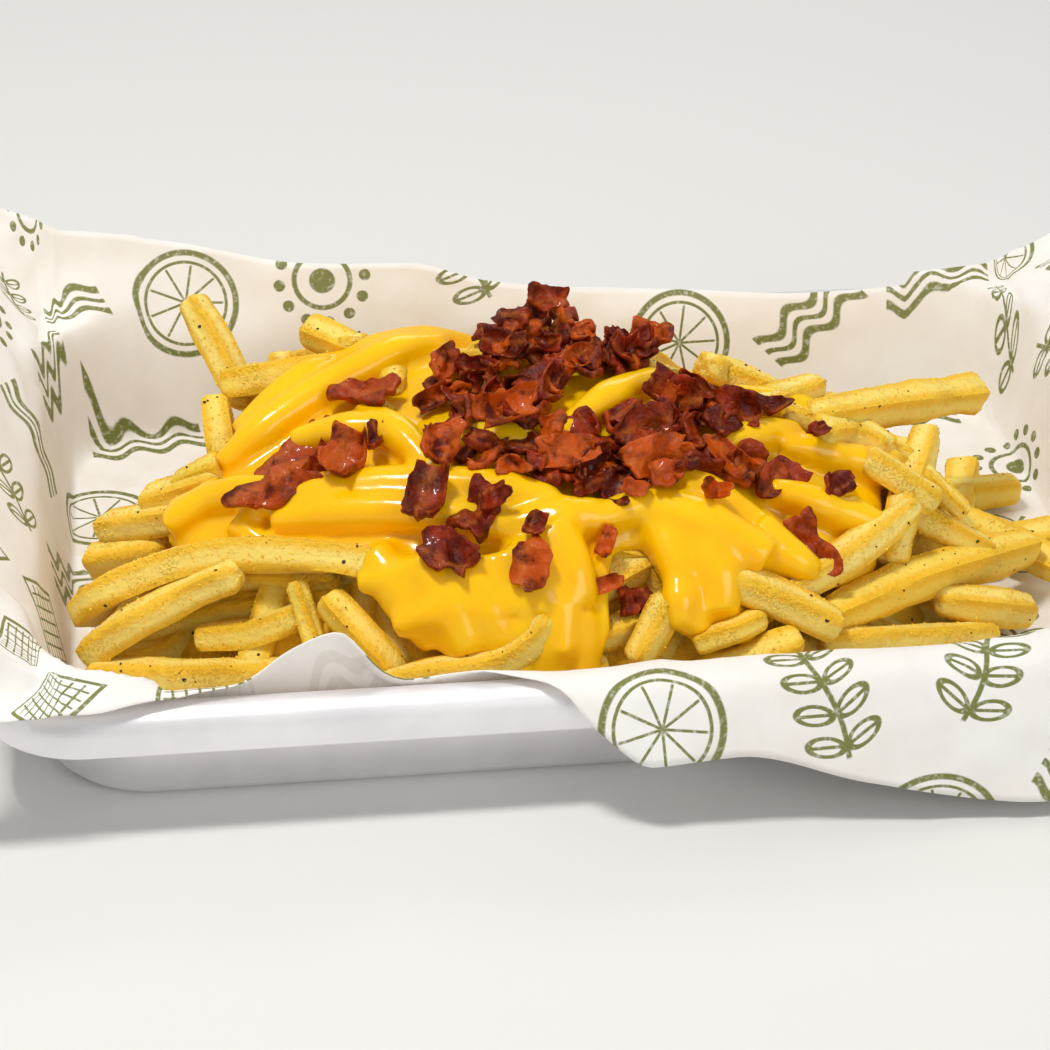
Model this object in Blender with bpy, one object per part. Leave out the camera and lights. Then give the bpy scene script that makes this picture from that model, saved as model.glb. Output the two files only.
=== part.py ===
"""Cheese fries: a small metal sheet pan lined with printed paper, heaped with thin-cut fries,
with melted cheese sauce poured over them and chopped bacon on top.

Lengths are in millimetres and become metres when a mesh is made. The origin is the centre of
the pan's underside, +X runs along the pan, +Y towards its back and +Z up.
"""
import math
import random

import bmesh
import bpy
from mathutils import Matrix, Vector
from mathutils.bvhtree import BVHTree
from mathutils.noise import noise

MM = 0.001
SEED = 7

# Pan: an eighth-size sheet pan
PAN_HALF_X, PAN_HALF_Y, PAN_HEIGHT = 120.5, 82.5, 25.4
PAN_CORNER = 19.0
PAN_WALL = 1.2
PAN_CORNER_STEPS = 6

# Paper liner
PAPER = 0.4
PAPER_FLOOR = 1.6
PAPER_HALF_X, PAPER_HALF_Y, PAPER_CORNER = 105.5, 67.3, 17.5
# the wall leans out: offset and height for each millimetre up along it
WALL_RUN, WALL_OUT, WALL_UP = 24.0, 0.25, 0.968
RIM_CLEAR = 27.0

# Heap: the outer dome that the pieces reach, and the bare core under them
HEAP_CENTRE = (-8.0, 2.0)
HEAP_HALF_X, HEAP_HALF_Y, HEAP_TOP, HEAP_FOOT = 100.0, 74.0, 52.0, 3.0
CORE_HALF_X, CORE_HALF_Y, CORE_TOP, CORE_FOOT = 93.0, 67.0, 44.5, 2.6
CORE_BACK = 54.0
# the heap's ridge runs askew, and the back falls away at its angle of rest
RIDGE_Y, RIDGE_SLANT, RIDGE_ROUND, BACK_SLOPE = -2.0, -0.25, 4.0, 0.66
FRY = 6.9
FOOD_FLOOR = 2.6
FLAT_ANGLE = 1.5
GAP = 0.65

MATERIALS = {
    "pan_metal": ((0.62, 0.62, 0.64), 0.38, 1.0),
    "liner_paper": ((0.80, 0.77, 0.70), 0.62, 0.0),
    "fried_potato": ((0.87, 0.60, 0.16), 0.55, 0.0),
    "cheese": ((0.93, 0.52, 0.02), 0.22, 0.0),
    "bacon": ((0.30, 0.05, 0.02), 0.45, 0.0),
}


def clear_scene():
    for thing in list(bpy.data.objects):
        bpy.data.objects.remove(thing, do_unlink=True)


def material(name):
    found = bpy.data.materials.get(name)
    if found:
        return found
    colour, roughness, metallic = MATERIALS[name]
    made = bpy.data.materials.new(name)
    made.use_nodes = True
    shader = made.node_tree.nodes["Principled BSDF"]
    shader.inputs["Base Color"].default_value = (*colour, 1.0)
    shader.inputs["Roughness"].default_value = roughness
    shader.inputs["Metallic"].default_value = metallic
    return made


def finish_object(name, bm, material_name, smooth_angle=40.0):
    """Turns a bmesh in millimetres into a named object in metres."""
    bmesh.ops.recalc_face_normals(bm, faces=bm.faces)
    bmesh.ops.scale(bm, vec=(MM, MM, MM), verts=bm.verts)
    mesh = bpy.data.meshes.new(name)
    bm.to_mesh(mesh)
    bm.free()
    mesh.shade_smooth()
    mesh.set_sharp_from_angle(angle=math.radians(smooth_angle))
    mesh.materials.append(material(material_name))
    made = bpy.data.objects.new(name, mesh)
    bpy.context.scene.collection.objects.link(made)
    return made


def loft(rings):
    """A closed body: the first ring is capped, then extruded from ring to ring and capped again."""
    bm = bmesh.new()
    count = len(rings[0])
    loop = bmesh.ops.create_circle(bm, segments=count, radius=1.0)["verts"]
    for vert, point in zip(loop, rings[0]):
        vert.co = point
    bmesh.ops.contextual_create(bm, geom=loop_edges(bm, loop))
    for ring in rings[1:]:
        made = bmesh.ops.extrude_edge_only(bm, edges=loop_edges(bm, loop))["geom"]
        place = {vert: index for index, vert in enumerate(loop)}
        following = [None] * count
        for vert in (item for item in made if isinstance(item, bmesh.types.BMVert)):
            for edge in vert.link_edges:
                if edge.other_vert(vert) in place:
                    following[place[edge.other_vert(vert)]] = vert
        loop = following
        for vert, point in zip(loop, ring):
            vert.co = point
    bmesh.ops.contextual_create(bm, geom=loop_edges(bm, loop))
    return bm


def loop_edges(bm, loop):
    return [bm.edges.get((vert, loop[index - 1])) or bm.edges.new((vert, loop[index - 1]))
            for index, vert in enumerate(loop)]


def smooth(low, high, value):
    t = min(max((value - low) / (high - low), 0.0), 1.0)
    return t * t * (3 - 2 * t)


def along(points, value):
    """Straight interpolation through a few (position, height) points."""
    if value <= points[0][0]:
        return points[0][1]
    for (x0, y0), (x1, y1) in zip(points, points[1:]):
        if value <= x1:
            return y0 + (y1 - y0) * (value - x0) / (x1 - x0)
    return points[-1][1]


def norm(power, *values):
    return sum(max(value, 0.0) ** power for value in values) ** (1.0 / power)


# The pan

def rounded_rectangle(inset, z):
    """One ring of the pan, inset from its outer rim."""
    half_x, half_y = PAN_HALF_X - inset, PAN_HALF_Y - inset
    points = []
    for corner, (sx, sy) in enumerate(((1, 1), (-1, 1), (-1, -1), (1, -1))):
        for step in range(PAN_CORNER_STEPS + 1):
            angle = math.radians(90 * (corner + step / PAN_CORNER_STEPS))
            points.append(Vector((sx * (half_x - PAN_CORNER) + PAN_CORNER * math.cos(angle),
                                  sy * (half_y - PAN_CORNER) + PAN_CORNER * math.sin(angle), z)))
    return points


def make_pan():
    # (inset from the rim, height): underside, outer wall, inside of the rolled rim
    outside = [(15.5, 0.0), (12.6, 0.5), (11.2, 2.4), (8.4, 20.4), (5.6, 23.5), (3.0, 24.0),
               (1.5, 22.6), (1.25, 17.6)]
    # hem, rolled rim, inner wall, floor
    inside = [(0.0, 17.4), (0.0, 22.6), (1.5, 24.8), (4.2, PAN_HEIGHT), (6.8, 24.7), (9.3, 21.3),
              (12.4, 3.4), (13.6, 1.7), (16.0, PAN_WALL)]
    rings = [rounded_rectangle(inset, z) for inset, z in outside + inside]
    return finish_object("tray", loft(rings), "pan_metal")


# The paper liner

# how far the sheet's edge lies from the foot of the wall, measured along the paper
BACK_EDGE = [(-165, 56), (-118, 49), (-79, 43.5), (-52, 39), (-28, 38.5), (-11, 33.5), (7, 30.5),
             (40, 28), (60, 27), (80, 28), (105, 30), (165, 36)]
FRONT_EDGE = [(-165, 34), (-118, 33), (-95, 32), (-84, 27), (-72, 25), (-44, 25), (-36, 26),
              (-20, 31), (-10, 42), (0, 49), (16, 48), (40, 55), (75, 63), (110, 65), (165, 65)]
# the front profile: run along the paper, offset outwards, height above the paper's floor
FRONT_OUT = [(0, 0), (14, 3.9), (22.5, 6.2), (28.5, 11), (34, 16.4), (42, 20.8), (52, 24.2), (65, 28)]
FRONT_UP = [(0, 0), (14, 13.5), (22.5, 21.7), (28.5, 25.6), (34, 25), (42, 18.6), (52, 9.2), (65, -0.9)]
LEFT_REACH, RIGHT_REACH = 58.0, 50.0
# how far the free paper leans out at each side of the pan
LEAN_LEFT, LEAN_RIGHT, LEAN_BACK = 0.5, 0.72, 0.33
OPEN_OUT, OPEN_UP = 0.62, 0.45
WAVE_PEAK, WAVE_RISE, WAVE_LEFT, WAVE_RIGHT = -57.5, 9.5, 14.0, 8.0
# the front edge climbs towards the right, and the back edge ripples
CLIMB_FROM, CLIMB = 52.0, 0.0045
RIPPLE, RIPPLE_LENGTH = 2.2, 19.0

# stations of the sheet's mesh: along the pan's length, then from the front edge to the back edge
FLOOR_COLUMNS = [-105.5, -97, -90, -83, -76, -70, -65, -61, -57.5, -54, -50, -46, -40, -31, -20, -10,
                 0, 15, 30, 48, 66, 84, 97, 105.5]
LEFT_SHARES, RIGHT_SHARES = (1.0, 0.81, 0.62, 0.41, 0.22, 0.05), (0.06, 0.26, 0.48, 0.72, 1.0)
WALL_TOP = 22.5
FRONT_SHARES = (1.0, 0.78, 0.56, 0.35, 0.16)
WALL_ROWS = (WALL_TOP, 14.0, 5.0, 0.0)
FLOOR_ROWS = (-40.0, 0.0, 40.0)
BACK_SHARES = (0.5, 1.0)


def stand(run, lean):
    """Paper standing against the wall and, past the rim, free: offset and height."""
    wall, free = min(run, WALL_RUN), max(run - WALL_RUN, 0.0)
    return WALL_OUT * wall + lean * free, WALL_UP * wall + math.sqrt(1 - lean * lean) * free


def liner_point(p, q):
    """A point of the sheet, from its place along the pan's length and depth when laid flat."""
    run_x, run_y = abs(p) - PAPER_HALF_X, abs(q) - PAPER_HALF_Y
    lean_x = LEAN_RIGHT if p > 0 else LEAN_LEFT
    out_x, up_x = stand(run_x, lean_x) if run_x > 0 else (0.0, 0.0)
    out_y, up_y = 0.0, 0.0
    outside = 0.0
    if run_y > 0 and q > 0:
        out_y, up_y = stand(run_y, LEAN_BACK)
    elif run_y > 0:
        out_y, up_y = along(FRONT_OUT, run_y), along(FRONT_UP, run_y)
        outside = smooth(20.0, 40.0, run_y)
    if run_x > 0:
        # outside the pan nothing holds the paper up against the end wall, so it opens out
        out_x += (OPEN_OUT * run_x - out_x) * outside
        up_x += (OPEN_UP * run_x - up_x) * outside
    x = math.copysign(min(abs(p), PAPER_HALF_X) + out_x, p)
    y = math.copysign(min(abs(q), PAPER_HALF_Y) + out_y, q)
    over_x = abs(x) - (PAPER_HALF_X - PAPER_CORNER)
    over_y = abs(y) - (PAPER_HALF_Y - PAPER_CORNER)
    corner = 0.0
    if over_x > 0 and over_y > 0:
        distance = math.hypot(over_x, over_y) - PAPER_CORNER
        corner = min(max(distance, 0.0) / WALL_OUT * WALL_UP, RIM_CLEAR) * (1 - outside)
    z = norm(6, up_x, up_y, corner) + min(up_y, 0.0)
    if q < 0 and run_y > 0:
        rise = smooth(8.0, 24.0, run_y)
        side = WAVE_LEFT if x < WAVE_PEAK else WAVE_RIGHT
        z += WAVE_RISE * rise * math.exp(-((x - WAVE_PEAK) / side) ** 2)
        z += CLIMB * max(0.0, x - CLIMB_FROM) ** 2 * rise * (1 - 0.6 * outside)
    if q > 0 and run_y > 0:
        y += RIPPLE * smooth(10.0, 40.0, run_y) * math.sin(x / RIPPLE_LENGTH)
    return Vector((x, y, PAPER_FLOOR + z))


def liner_rows(p):
    """The sheet's stations from its front edge to its back edge, at one place along the pan."""
    front, back = along(FRONT_EDGE, p) - WALL_TOP, along(BACK_EDGE, p) - WALL_TOP
    flap = [-(PAPER_HALF_Y + WALL_TOP + front * share) for share in FRONT_SHARES]
    front_wall = [-(PAPER_HALF_Y + run) for run in WALL_ROWS]
    back_wall = [PAPER_HALF_Y + run for run in reversed(WALL_ROWS)]
    return (flap + front_wall + list(FLOOR_ROWS) + back_wall
            + [PAPER_HALF_Y + WALL_TOP + back * share for share in BACK_SHARES])


def make_liner():
    left = [-(PAPER_HALF_X + LEFT_REACH * share) for share in LEFT_SHARES]
    right = [PAPER_HALF_X + RIGHT_REACH * share for share in RIGHT_SHARES]
    columns = left + FLOOR_COLUMNS + right
    rows = len(liner_rows(0.0))
    bm = bmesh.new()
    made = bmesh.ops.create_grid(bm, x_segments=len(columns) - 1, y_segments=rows - 1, size=1.0)["verts"]
    ordered = sorted(made, key=lambda vert: (round(vert.co.y, 5), vert.co.x))
    for index, vert in enumerate(ordered):
        row, column = divmod(index, len(columns))
        vert.co = liner_point(columns[column], liner_rows(columns[column])[row])
    bmesh.ops.triangulate(bm, faces=bm.faces, quad_method="ALTERNATE")
    bmesh.ops.recalc_face_normals(bm, faces=bm.faces)
    bmesh.ops.solidify(bm, geom=bm.faces, thickness=PAPER)
    return finish_object("paper_liner", bm, "liner_paper", 60.0)


# The heap

def mound(x, y, half_x, half_y, top, foot):
    """A dome in front of the heap's ridge, and an even slope behind it."""
    ridge = RIDGE_Y + RIDGE_SLANT * x
    front_y = min(y, ridge)
    q = ((x - HEAP_CENTRE[0]) / half_x) ** 2 + ((front_y - HEAP_CENTRE[1]) / half_y) ** 2
    crest = top * max(0.0, 1 - q) ** 0.6 + foot
    fall = BACK_SLOPE * (math.hypot(max(y - ridge, 0.0), RIDGE_ROUND) - RIDGE_ROUND)
    return max(crest - fall, foot)


def heap_z(x, y):
    return mound(x, y, HEAP_HALF_X, HEAP_HALF_Y, HEAP_TOP, HEAP_FOOT)


def core_z(x, y):
    return mound(x, y, CORE_HALF_X, CORE_HALF_Y, CORE_TOP, CORE_FOOT)


def polar_rings(centre, reach, fractions, height, sectors):
    """Rings round a centre: each point at a fraction of the outline's reach in its direction."""
    rings = []
    for fraction in fractions:
        ring = []
        for sector in range(sectors):
            angle = 2 * math.pi * sector / sectors
            x = centre[0] + fraction * reach(angle) * math.cos(angle)
            y = centre[1] + fraction * reach(angle) * math.sin(angle)
            ring.append(Vector((x, y, height(x, y, fraction))))
        rings.append(ring)
    return rings


def outline_reach(points, centre):
    """Distance from the centre to a closed outline, as a function of direction."""
    turn = 2 * math.pi
    polar = sorted((math.atan2(y - centre[1], x - centre[0]) % turn,
                    math.hypot(x - centre[0], y - centre[1])) for x, y in points)
    (first, first_reach), (last, last_reach) = polar[0], polar[-1]
    wrapped = [(last - turn, last_reach)] + polar + [(first + turn, first_reach)]
    return lambda angle: along(wrapped, angle % turn)


def make_core():
    def reach(angle):
        depth = CORE_HALF_Y if math.sin(angle) < 0 else CORE_BACK
        return 1.0 / math.hypot(math.cos(angle) / CORE_HALF_X, math.sin(angle) / depth)

    top = polar_rings(HEAP_CENTRE, reach, (0.03, 0.22, 0.42, 0.6, 0.76, 0.88, 0.96, 1.0),
                      lambda x, y, fraction: core_z(x, y) + 0.4, 36)
    foot = polar_rings(HEAP_CENTRE, reach, (0.985, 0.03), lambda x, y, fraction: FOOD_FLOOR, 36)
    return loft(top + foot)


# Fries that the front view shows: centre-line points, from tip to tip
SHOWN_FRIES = {
    "leaning_back_left": [(-77, 29, 53), (-73, 22, 47), (-68, 12, 39)],
    "level_back_left": [(-71, 10, 44), (-51, 6, 48)],
    "short_upright_left": [(-74, 5, 42), (-73, -5, 34)],
    "tip_behind_left": [(-54, 16, 52), (-40, 7, 50)],
    "pale_behind_left": [(-50, 12, 50), (-36, 7, 50)],
    "browned_scrap": [(-82, -9, 32), (-75, -11, 36)],
    "pale_left": [(-88, -7, 27), (-75, -13, 34)],
    "middle_left": [(-97, -4, 20), (-79, -17, 29), (-57, -26, 36)],
    "end_behind_arch": [(-100, -7, 14), (-86, -14, 20)],
    "left_arch": [(-107, -25, 13), (-97, -29, 20), (-85, -30, 25.5), (-72, -34, 29.5),
                  (-55, -41, 32), (-46, -45, 32)],
    "second_left": [(-105, -34, 9), (-94, -36, 16), (-83, -36, 22), (-73, -39, 28)],
    "under_arch_low": [(-92, -26, 9), (-72, -32, 16), (-54, -40, 22)],
    "under_arch_high": [(-90, -23, 17), (-70, -31, 23.5), (-54, -38, 26)],
    "front_bottom_left": [(-104, -38, 6.6), (-82, -44, 9), (-61, -49, 11)],
    "short_curved_left": [(-79, -38, 14), (-70, -41, 16), (-62, -43, 20)],
    "orange_front": [(-61, -42, 26), (-58, -50, 17)],
    "diagonal_front": [(-55, -46, 25), (-49, -52, 20), (-44, -55, 14)],
    "under_front_left": [(-58, -52, 9), (-40, -58, 12)],
    "front_crescent": [(-47, -59, 13), (-38, -61, 17), (-26, -62, 19), (-19, -61, 23), (-16, -60, 27)],
    "low_front": [(-21, -61, 13), (-5, -61, 16)],
    "recess_pale": [(-4, -55, 30), (6, -48, 33)],
    "recess_low": [(-4, -57, 25), (7, -56, 26)],
    "short_front": [(2, -62, 19), (8, -57, 27)],
    "short_curved_right": [(14, -61, 21), (20, -61, 23), (25, -59, 24)],
    "crossing_right": [(23, -53, 30), (34, -56, 23)],
    "low_right": [(28, -60, 14), (44, -58, 17)],
    "leaning_right": [(22, -60, 20), (33, -54, 26), (59, -37, 31)],
    "upright_right": [(70, -9, 34), (61, -29, 31), (55, -40, 25)],
    "long_right": [(32, -57, 22), (57, -42, 20), (90, -20, 13)],
    "right_upper": [(63, -28, 27), (78, -28, 18)],
    "right_twisted": [(66, -24, 33), (73, -27, 27)],
    "long_back_right": [(44, -18, 44), (64, -2, 38), (86, 13, 32)],
    "under_back_right": [(39, -17, 45), (63, -16, 34)],
    "emerging_right": [(54, -25, 38), (66, -30, 31)],
    "back_tip_right": [(33, -16, 47), (46, -8, 46)],
    "back_short_right": [(26, -3, 49), (37, -9, 46)],
    "bottom_right": [(40, -57, 16), (56, -53, 13), (75, -46, 8)],
    "right_tip": [(66, -42, 15), (85, -40, 10)],
    "under_right": [(28, -55, 13), (56, -52, 9)],
}
BACK_FRIES = 18
BACK_FROM, BACK_TO = 18.0, 176.0


def back_fries():
    """Fries over the back of the heap, in three tiers, crossing its slope at changing angles."""
    rng = random.Random(SEED)
    paths = []
    for index in range(BACK_FRIES):
        turn = math.radians(BACK_FROM + (BACK_TO - BACK_FROM) * (index + 0.5) / BACK_FRIES)
        level = (0.86, 0.66, 0.46)[index % 3]
        cx = HEAP_CENTRE[0] + (HEAP_HALF_X - 9) * level * math.cos(turn)
        cy = HEAP_CENTRE[1] + (HEAP_HALF_Y - 9) * level * math.sin(turn)
        lie = turn + math.radians(rng.choice((90, 62, 118, 40)) + rng.uniform(-12, 12))
        half = rng.uniform(19, 27)
        path = []
        for step in (-1.0, 0.0, 1.0):
            x = cx + step * half * math.cos(lie)
            y = cy + step * half * math.sin(lie)
            lean = 2.5 * step
            path.append((x, y, max(heap_z(x, y) - FRY * 0.55 + lean, 6.6)))
        paths.append(path)
    return paths


def fry_bar(path, rng):
    """A four-sided bar with eased ends along a path, at one fry's true thickness."""
    points = [Vector(point) for point in path]
    rings = []
    half = 0.5 * FRY * rng.uniform(0.92, 1.08)
    turn = rng.uniform(-0.35, 0.35)
    first, last = points[0] - points[1], points[-1] - points[-2]
    stations = [(points[0] + first.normalized() * 1.2, 0.62)]
    stations += [(point, 1.0) for point in points]
    stations += [(points[-1] + last.normalized() * 1.2, 0.62)]
    for index, (point, scale) in enumerate(stations):
        before = stations[max(index - 1, 0)][0]
        after = stations[min(index + 1, len(stations) - 1)][0]
        ahead = (after - before).normalized()
        side = ahead.cross(Vector((0, 0, 1))).normalized()
        up = side.cross(ahead)
        ring = []
        for corner in range(4):
            angle = turn + math.pi / 4 + corner * math.pi / 2
            ring.append(point + (side * math.cos(angle) + up * math.sin(angle)) * half * scale * math.sqrt(2))
        rings.append(ring)
    return loft(rings)


def keep_inside_liner(path):
    """Draws a path in and up where it would reach the paper's walls or floor."""
    kept = []
    for x, y, z in path:
        room = WALL_OUT * max(z - PAPER_FLOOR - FRY * 0.7, 0.0)
        limit_x = PAPER_HALF_X + room - FRY * 0.75
        limit_y = PAPER_HALF_Y + room - FRY * 0.75
        x = min(max(x, -limit_x), limit_x)
        y = min(max(y, -limit_y), limit_y)
        kept.append((x, y, max(z, FOOD_FLOOR + FRY * 0.58)))
    return kept


def apply_modifiers(thing):
    """Puts the evaluated mesh in the object's place of its own and drops the modifiers."""
    graph = bpy.context.evaluated_depsgraph_get()
    mesh = bpy.data.meshes.new_from_object(thing.evaluated_get(graph))
    thing.modifiers.clear()
    thing.data = mesh


def join_collection(base, pieces):
    """One Boolean union of the base with a collection, applied; the collection's objects go."""
    group = bpy.data.collections.new(base.name + "_pieces")
    bpy.context.scene.collection.children.link(group)
    for piece in pieces:
        bpy.context.scene.collection.objects.unlink(piece)
        group.objects.link(piece)
    joined = base.modifiers.new("joined", "BOOLEAN")
    joined.operand_type = "COLLECTION"
    joined.collection = group
    joined.operation = "UNION"
    joined.solver = "MANIFOLD"
    apply_modifiers(base)
    for piece in list(group.objects):
        bpy.data.objects.remove(piece, do_unlink=True)
    bpy.data.collections.remove(group)


def keep_largest(thing):
    """Drops loose scraps, and joins the flat faces that a union splits."""
    bm = bmesh.new()
    bm.from_mesh(thing.data)
    bmesh.ops.triangulate(bm, faces=bm.faces)
    groups, seen = [], set()
    for face in bm.faces:
        if face in seen:
            continue
        stack, group = [face], []
        seen.add(face)
        while stack:
            current = stack.pop()
            group.append(current)
            for edge in current.edges:
                if len(edge.link_faces) != 2:
                    continue
                for other in edge.link_faces:
                    if other not in seen:
                        seen.add(other)
                        stack.append(other)
        groups.append(group)
    groups.sort(key=len)
    for group in groups[:-1]:
        bmesh.ops.delete(bm, geom=group, context="FACES")
    bmesh.ops.dissolve_limit(bm, angle_limit=math.radians(FLAT_ANGLE), verts=bm.verts, edges=bm.edges)
    bmesh.ops.triangulate(bm, faces=bm.faces)
    bm.to_mesh(thing.data)
    bm.free()


def shorten(thing, cutter):
    """Takes away what reaches into the layer below."""
    cut = thing.modifiers.new("shorten", "BOOLEAN")
    cut.object = cutter
    cut.operation = "DIFFERENCE"
    cut.solver = "MANIFOLD"
    apply_modifiers(thing)


def make_fries(sauce_cutter):
    rng = random.Random(SEED + 1)
    core = finish_object("fries", make_core(), "fried_potato")
    bars = []
    for path in list(SHOWN_FRIES.values()) + back_fries():
        bar = fry_bar(keep_inside_liner(path), rng)
        bars.append(finish_object("fry", bar, "fried_potato"))
    join_collection(core, bars)
    shorten(core, sauce_cutter)
    keep_largest(core)
    return core


# The cheese sauce

SAUCE_CENTRE = (-8.0, -14.0)
SAUCE_OUTLINE = [(-86, -17), (-75, -12), (-70, -5), (-57, 7), (-46, 12), (-30, 17), (-10, 19), (8, 11),
                 (20, -3), (34, -11), (50, -12), (57, -19), (56, -33), (52, -43), (37, -50), (27, -57),
                 (19, -57), (13, -63), (7, -61), (2, -53), (-3, -66), (-16, -66), (-23, -57), (-30, -62),
                 (-43, -61), (-50, -52), (-49, -45), (-58, -40), (-70, -32)]
# fries that the sauce coats: plan position of each end
COATED = [((-27, 11), (-74, -12)), ((-46, -11), (-33, -33)), ((-69, -26), (-11, -41)),
          ((-84, -16), (-58, -28)), ((-50, -48), (-22, -52)), ((-44, -56), (-29, -56)),
          ((3, -42), (32, -50)), ((31, -36), (51, -38)), ((36, -25), (55, -24)), ((28, -13), (52, -15)),
          ((13, -10), (-9, -27)), ((-22, -45), (1, -44)), ((-12, -53), (-13, -64)), ((10, -54), (10, -61))]
COAT_HALF_WIDTH, COAT_RISE = 4.8, 3.6
SAUCE_THICKEST = 6.5
SAUCE_SECTORS = 56
OVER_FRACTIONS = (0.03, 0.14, 0.25, 0.36, 0.46, 0.56, 0.66, 0.75, 0.84, 0.92, 0.97, 1.0)
UNDER_FRACTIONS = (0.985, 0.9, 0.75, 0.52, 0.26, 0.03)


def ridge(x, y):
    """Height of the coated fries' ridges above the flooded level."""
    best = 0.0
    for (x0, y0), (x1, y1) in COATED:
        dx, dy = x1 - x0, y1 - y0
        t = min(max(((x - x0) * dx + (y - y0) * dy) / (dx * dx + dy * dy), 0.0), 1.0)
        away = math.hypot(x - x0 - t * dx, y - y0 - t * dy) / COAT_HALF_WIDTH
        best = max(best, COAT_RISE * math.exp(-away * away))
    return best


def sauce_top(x, y):
    return heap_z(x, y) - 2.6 + ridge(x, y)


def steepness(height, x, y):
    step = 0.5
    dx = (height(x + step, y) - height(x - step, y)) / (2 * step)
    dy = (height(x, y + step) - height(x, y - step)) / (2 * step)
    return min(math.sqrt(1 + dx * dx + dy * dy), 3.0)


def sauce_under(x, y):
    level = core_z(x, y) + 0.4 + GAP * 2 * steepness(core_z, x, y)
    return max(level, sauce_top(x, y) - SAUCE_THICKEST)


def sauce_body():
    """The sauce blanket: flooded level, coated ridges and drips, over the bare core."""
    reach = outline_reach(SAUCE_OUTLINE, SAUCE_CENTRE)

    def top(x, y, fraction):
        edge = smooth(0.86, 1.0, fraction)
        level = sauce_top(x, y)
        return level - edge * 0.62 * max(level - sauce_under(x, y), 0.0)

    def under(x, y, fraction):
        edge = smooth(0.86, 1.0, fraction)
        level = sauce_under(x, y)
        return level + edge * 0.25 * max(sauce_top(x, y) - level, 0.0)

    over = polar_rings(SAUCE_CENTRE, reach, OVER_FRACTIONS, top, SAUCE_SECTORS)
    below = polar_rings(SAUCE_CENTRE, reach, UNDER_FRACTIONS, under, SAUCE_SECTORS)
    bm = loft(over + below)
    bmesh.ops.triangulate(bm, faces=bm.faces)
    bmesh.ops.recalc_face_normals(bm, faces=bm.faces)
    return bm


def make_sauce_cutter():
    """The sauce grown by the gap on all sides, which shortens the fries that reach into it."""
    bm = sauce_body()
    bm.normal_update()
    moved = [(vert, vert.normal * GAP * min(vert.calc_shell_factor(), 2.5)) for vert in bm.verts]
    for vert, offset in moved:
        vert.co += offset
    return finish_object("sauce_cutter", bm, "cheese")


# The bacon

PILE_CENTRE = (0.0, -18.0)
PILE_OUTLINE = [(-34, -6), (-24, 2), (-12, 9), (-2, 8), (6, 3), (12, -4), (19, -14), (30, -23), (31, -29),
                (22, -38), (9, -45), (-6, -41), (-16, -37), (-27, -36), (-31, -22)]
# pieces standing in the pile: plan place, turn, lean, length, width
PILE_PIECES = [(-8, 4, 20, 66, 14, 8), (-30, -8, 75, 60, 16, 8), (-17, -5, -20, 36, 14, 10),
               (-20, -29, 15, 24, 20, 14), (-33, -33, 70, 30, 13, 11), (-9, -34, 5, 30, 16, 11),
               (-12, -17, 40, 32, 16, 12), (8, -6, 30, 30, 13, 11),
               (14, -14, -50, 45, 12, 8), (15, -19, -30, 32, 16, 12), (7, -28, 20, 34, 17, 12),
               (8, -39, 10, 26, 20, 15), (27, -23, -15, 30, 16, 11), (24, -33, -48, 28, 19, 10)]
# loose pieces: plan place, turn, length, width, curl height
LOOSE_BACON = {
    "bacon_triangle_left": (-45, -9, -35, 13, 10, 1.2),
    "bacon_strip_left": (-59, -19, 38, 19, 8, 2.0),
    "bacon_curl_left": (-50, -29, 60, 11, 10, 4.0),
    "bacon_flat_left": (-64, -29, 12, 17, 9, 1.0),
    "bacon_square_dark": (-36, -42, 70, 12, 10, 1.2),
    "bacon_orange_front": (-27, -45, 55, 12, 8, 1.0),
    "bacon_diamond": (-33, -52, -35, 11, 9, 1.0),
    "bacon_rectangle": (-18, -57, 70, 10, 8, 0.8),
    "bacon_small_front": (-3, -49, 65, 6, 4, 0.6),
    "bacon_right_curl": (37, -46, -60, 13, 8, 2.5),
    "bacon_right_small": (44, -36, 15, 6, 5, 1.5),
    "bacon_chip_upper": (-44, -23, 80, 6, 4, 0.6),
}
BACON = 1.8


def bacon_plate(length, width, curl, rng, cells=(3, 2)):
    """A ragged, curled chip, both faces split into triangles alike."""
    bm = bmesh.new()
    bmesh.ops.create_grid(bm, x_segments=cells[0], y_segments=cells[1], size=0.5)
    for vert in bm.verts:
        u, v = vert.co.x, vert.co.y
        edge = max(abs(u), abs(v)) * 2
        x = u * length + rng.uniform(-0.08, 0.08) * length * edge
        y = v * width * (1.0 - 0.5 * abs(u)) + rng.uniform(-0.1, 0.1) * width * edge
        vert.co = (x, y, curl * (4 * u * u - 0.3) + rng.uniform(-0.35, 0.35))
    bmesh.ops.triangulate(bm, faces=bm.faces, quad_method="ALTERNATE")
    bmesh.ops.recalc_face_normals(bm, faces=bm.faces)
    bmesh.ops.solidify(bm, geom=bm.faces, thickness=BACON)
    return bm


def lay_on_slope(bm, x, y, z, turn, lean, height):
    """Turns a chip on the spot, leans it, and tilts it to the slope it lies on."""
    step = 2.0
    normal = Vector((-(height(x + step, y) - height(x - step, y)) / (2 * step),
                     -(height(x, y + step) - height(x, y - step)) / (2 * step), 1.0)).normalized()
    slope = Vector((0, 0, 1)).rotation_difference(normal).to_matrix().to_4x4()
    place = (Matrix.Translation((x, y, z)) @ slope @ Matrix.Rotation(math.radians(turn), 4, "Z")
             @ Matrix.Rotation(math.radians(lean), 4, "X"))
    bmesh.ops.transform(bm, matrix=place, verts=bm.verts)


def pile_floor(x, y):
    """An even level just over the sauce's ridges."""
    return heap_z(x, y) + 1.2


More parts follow.
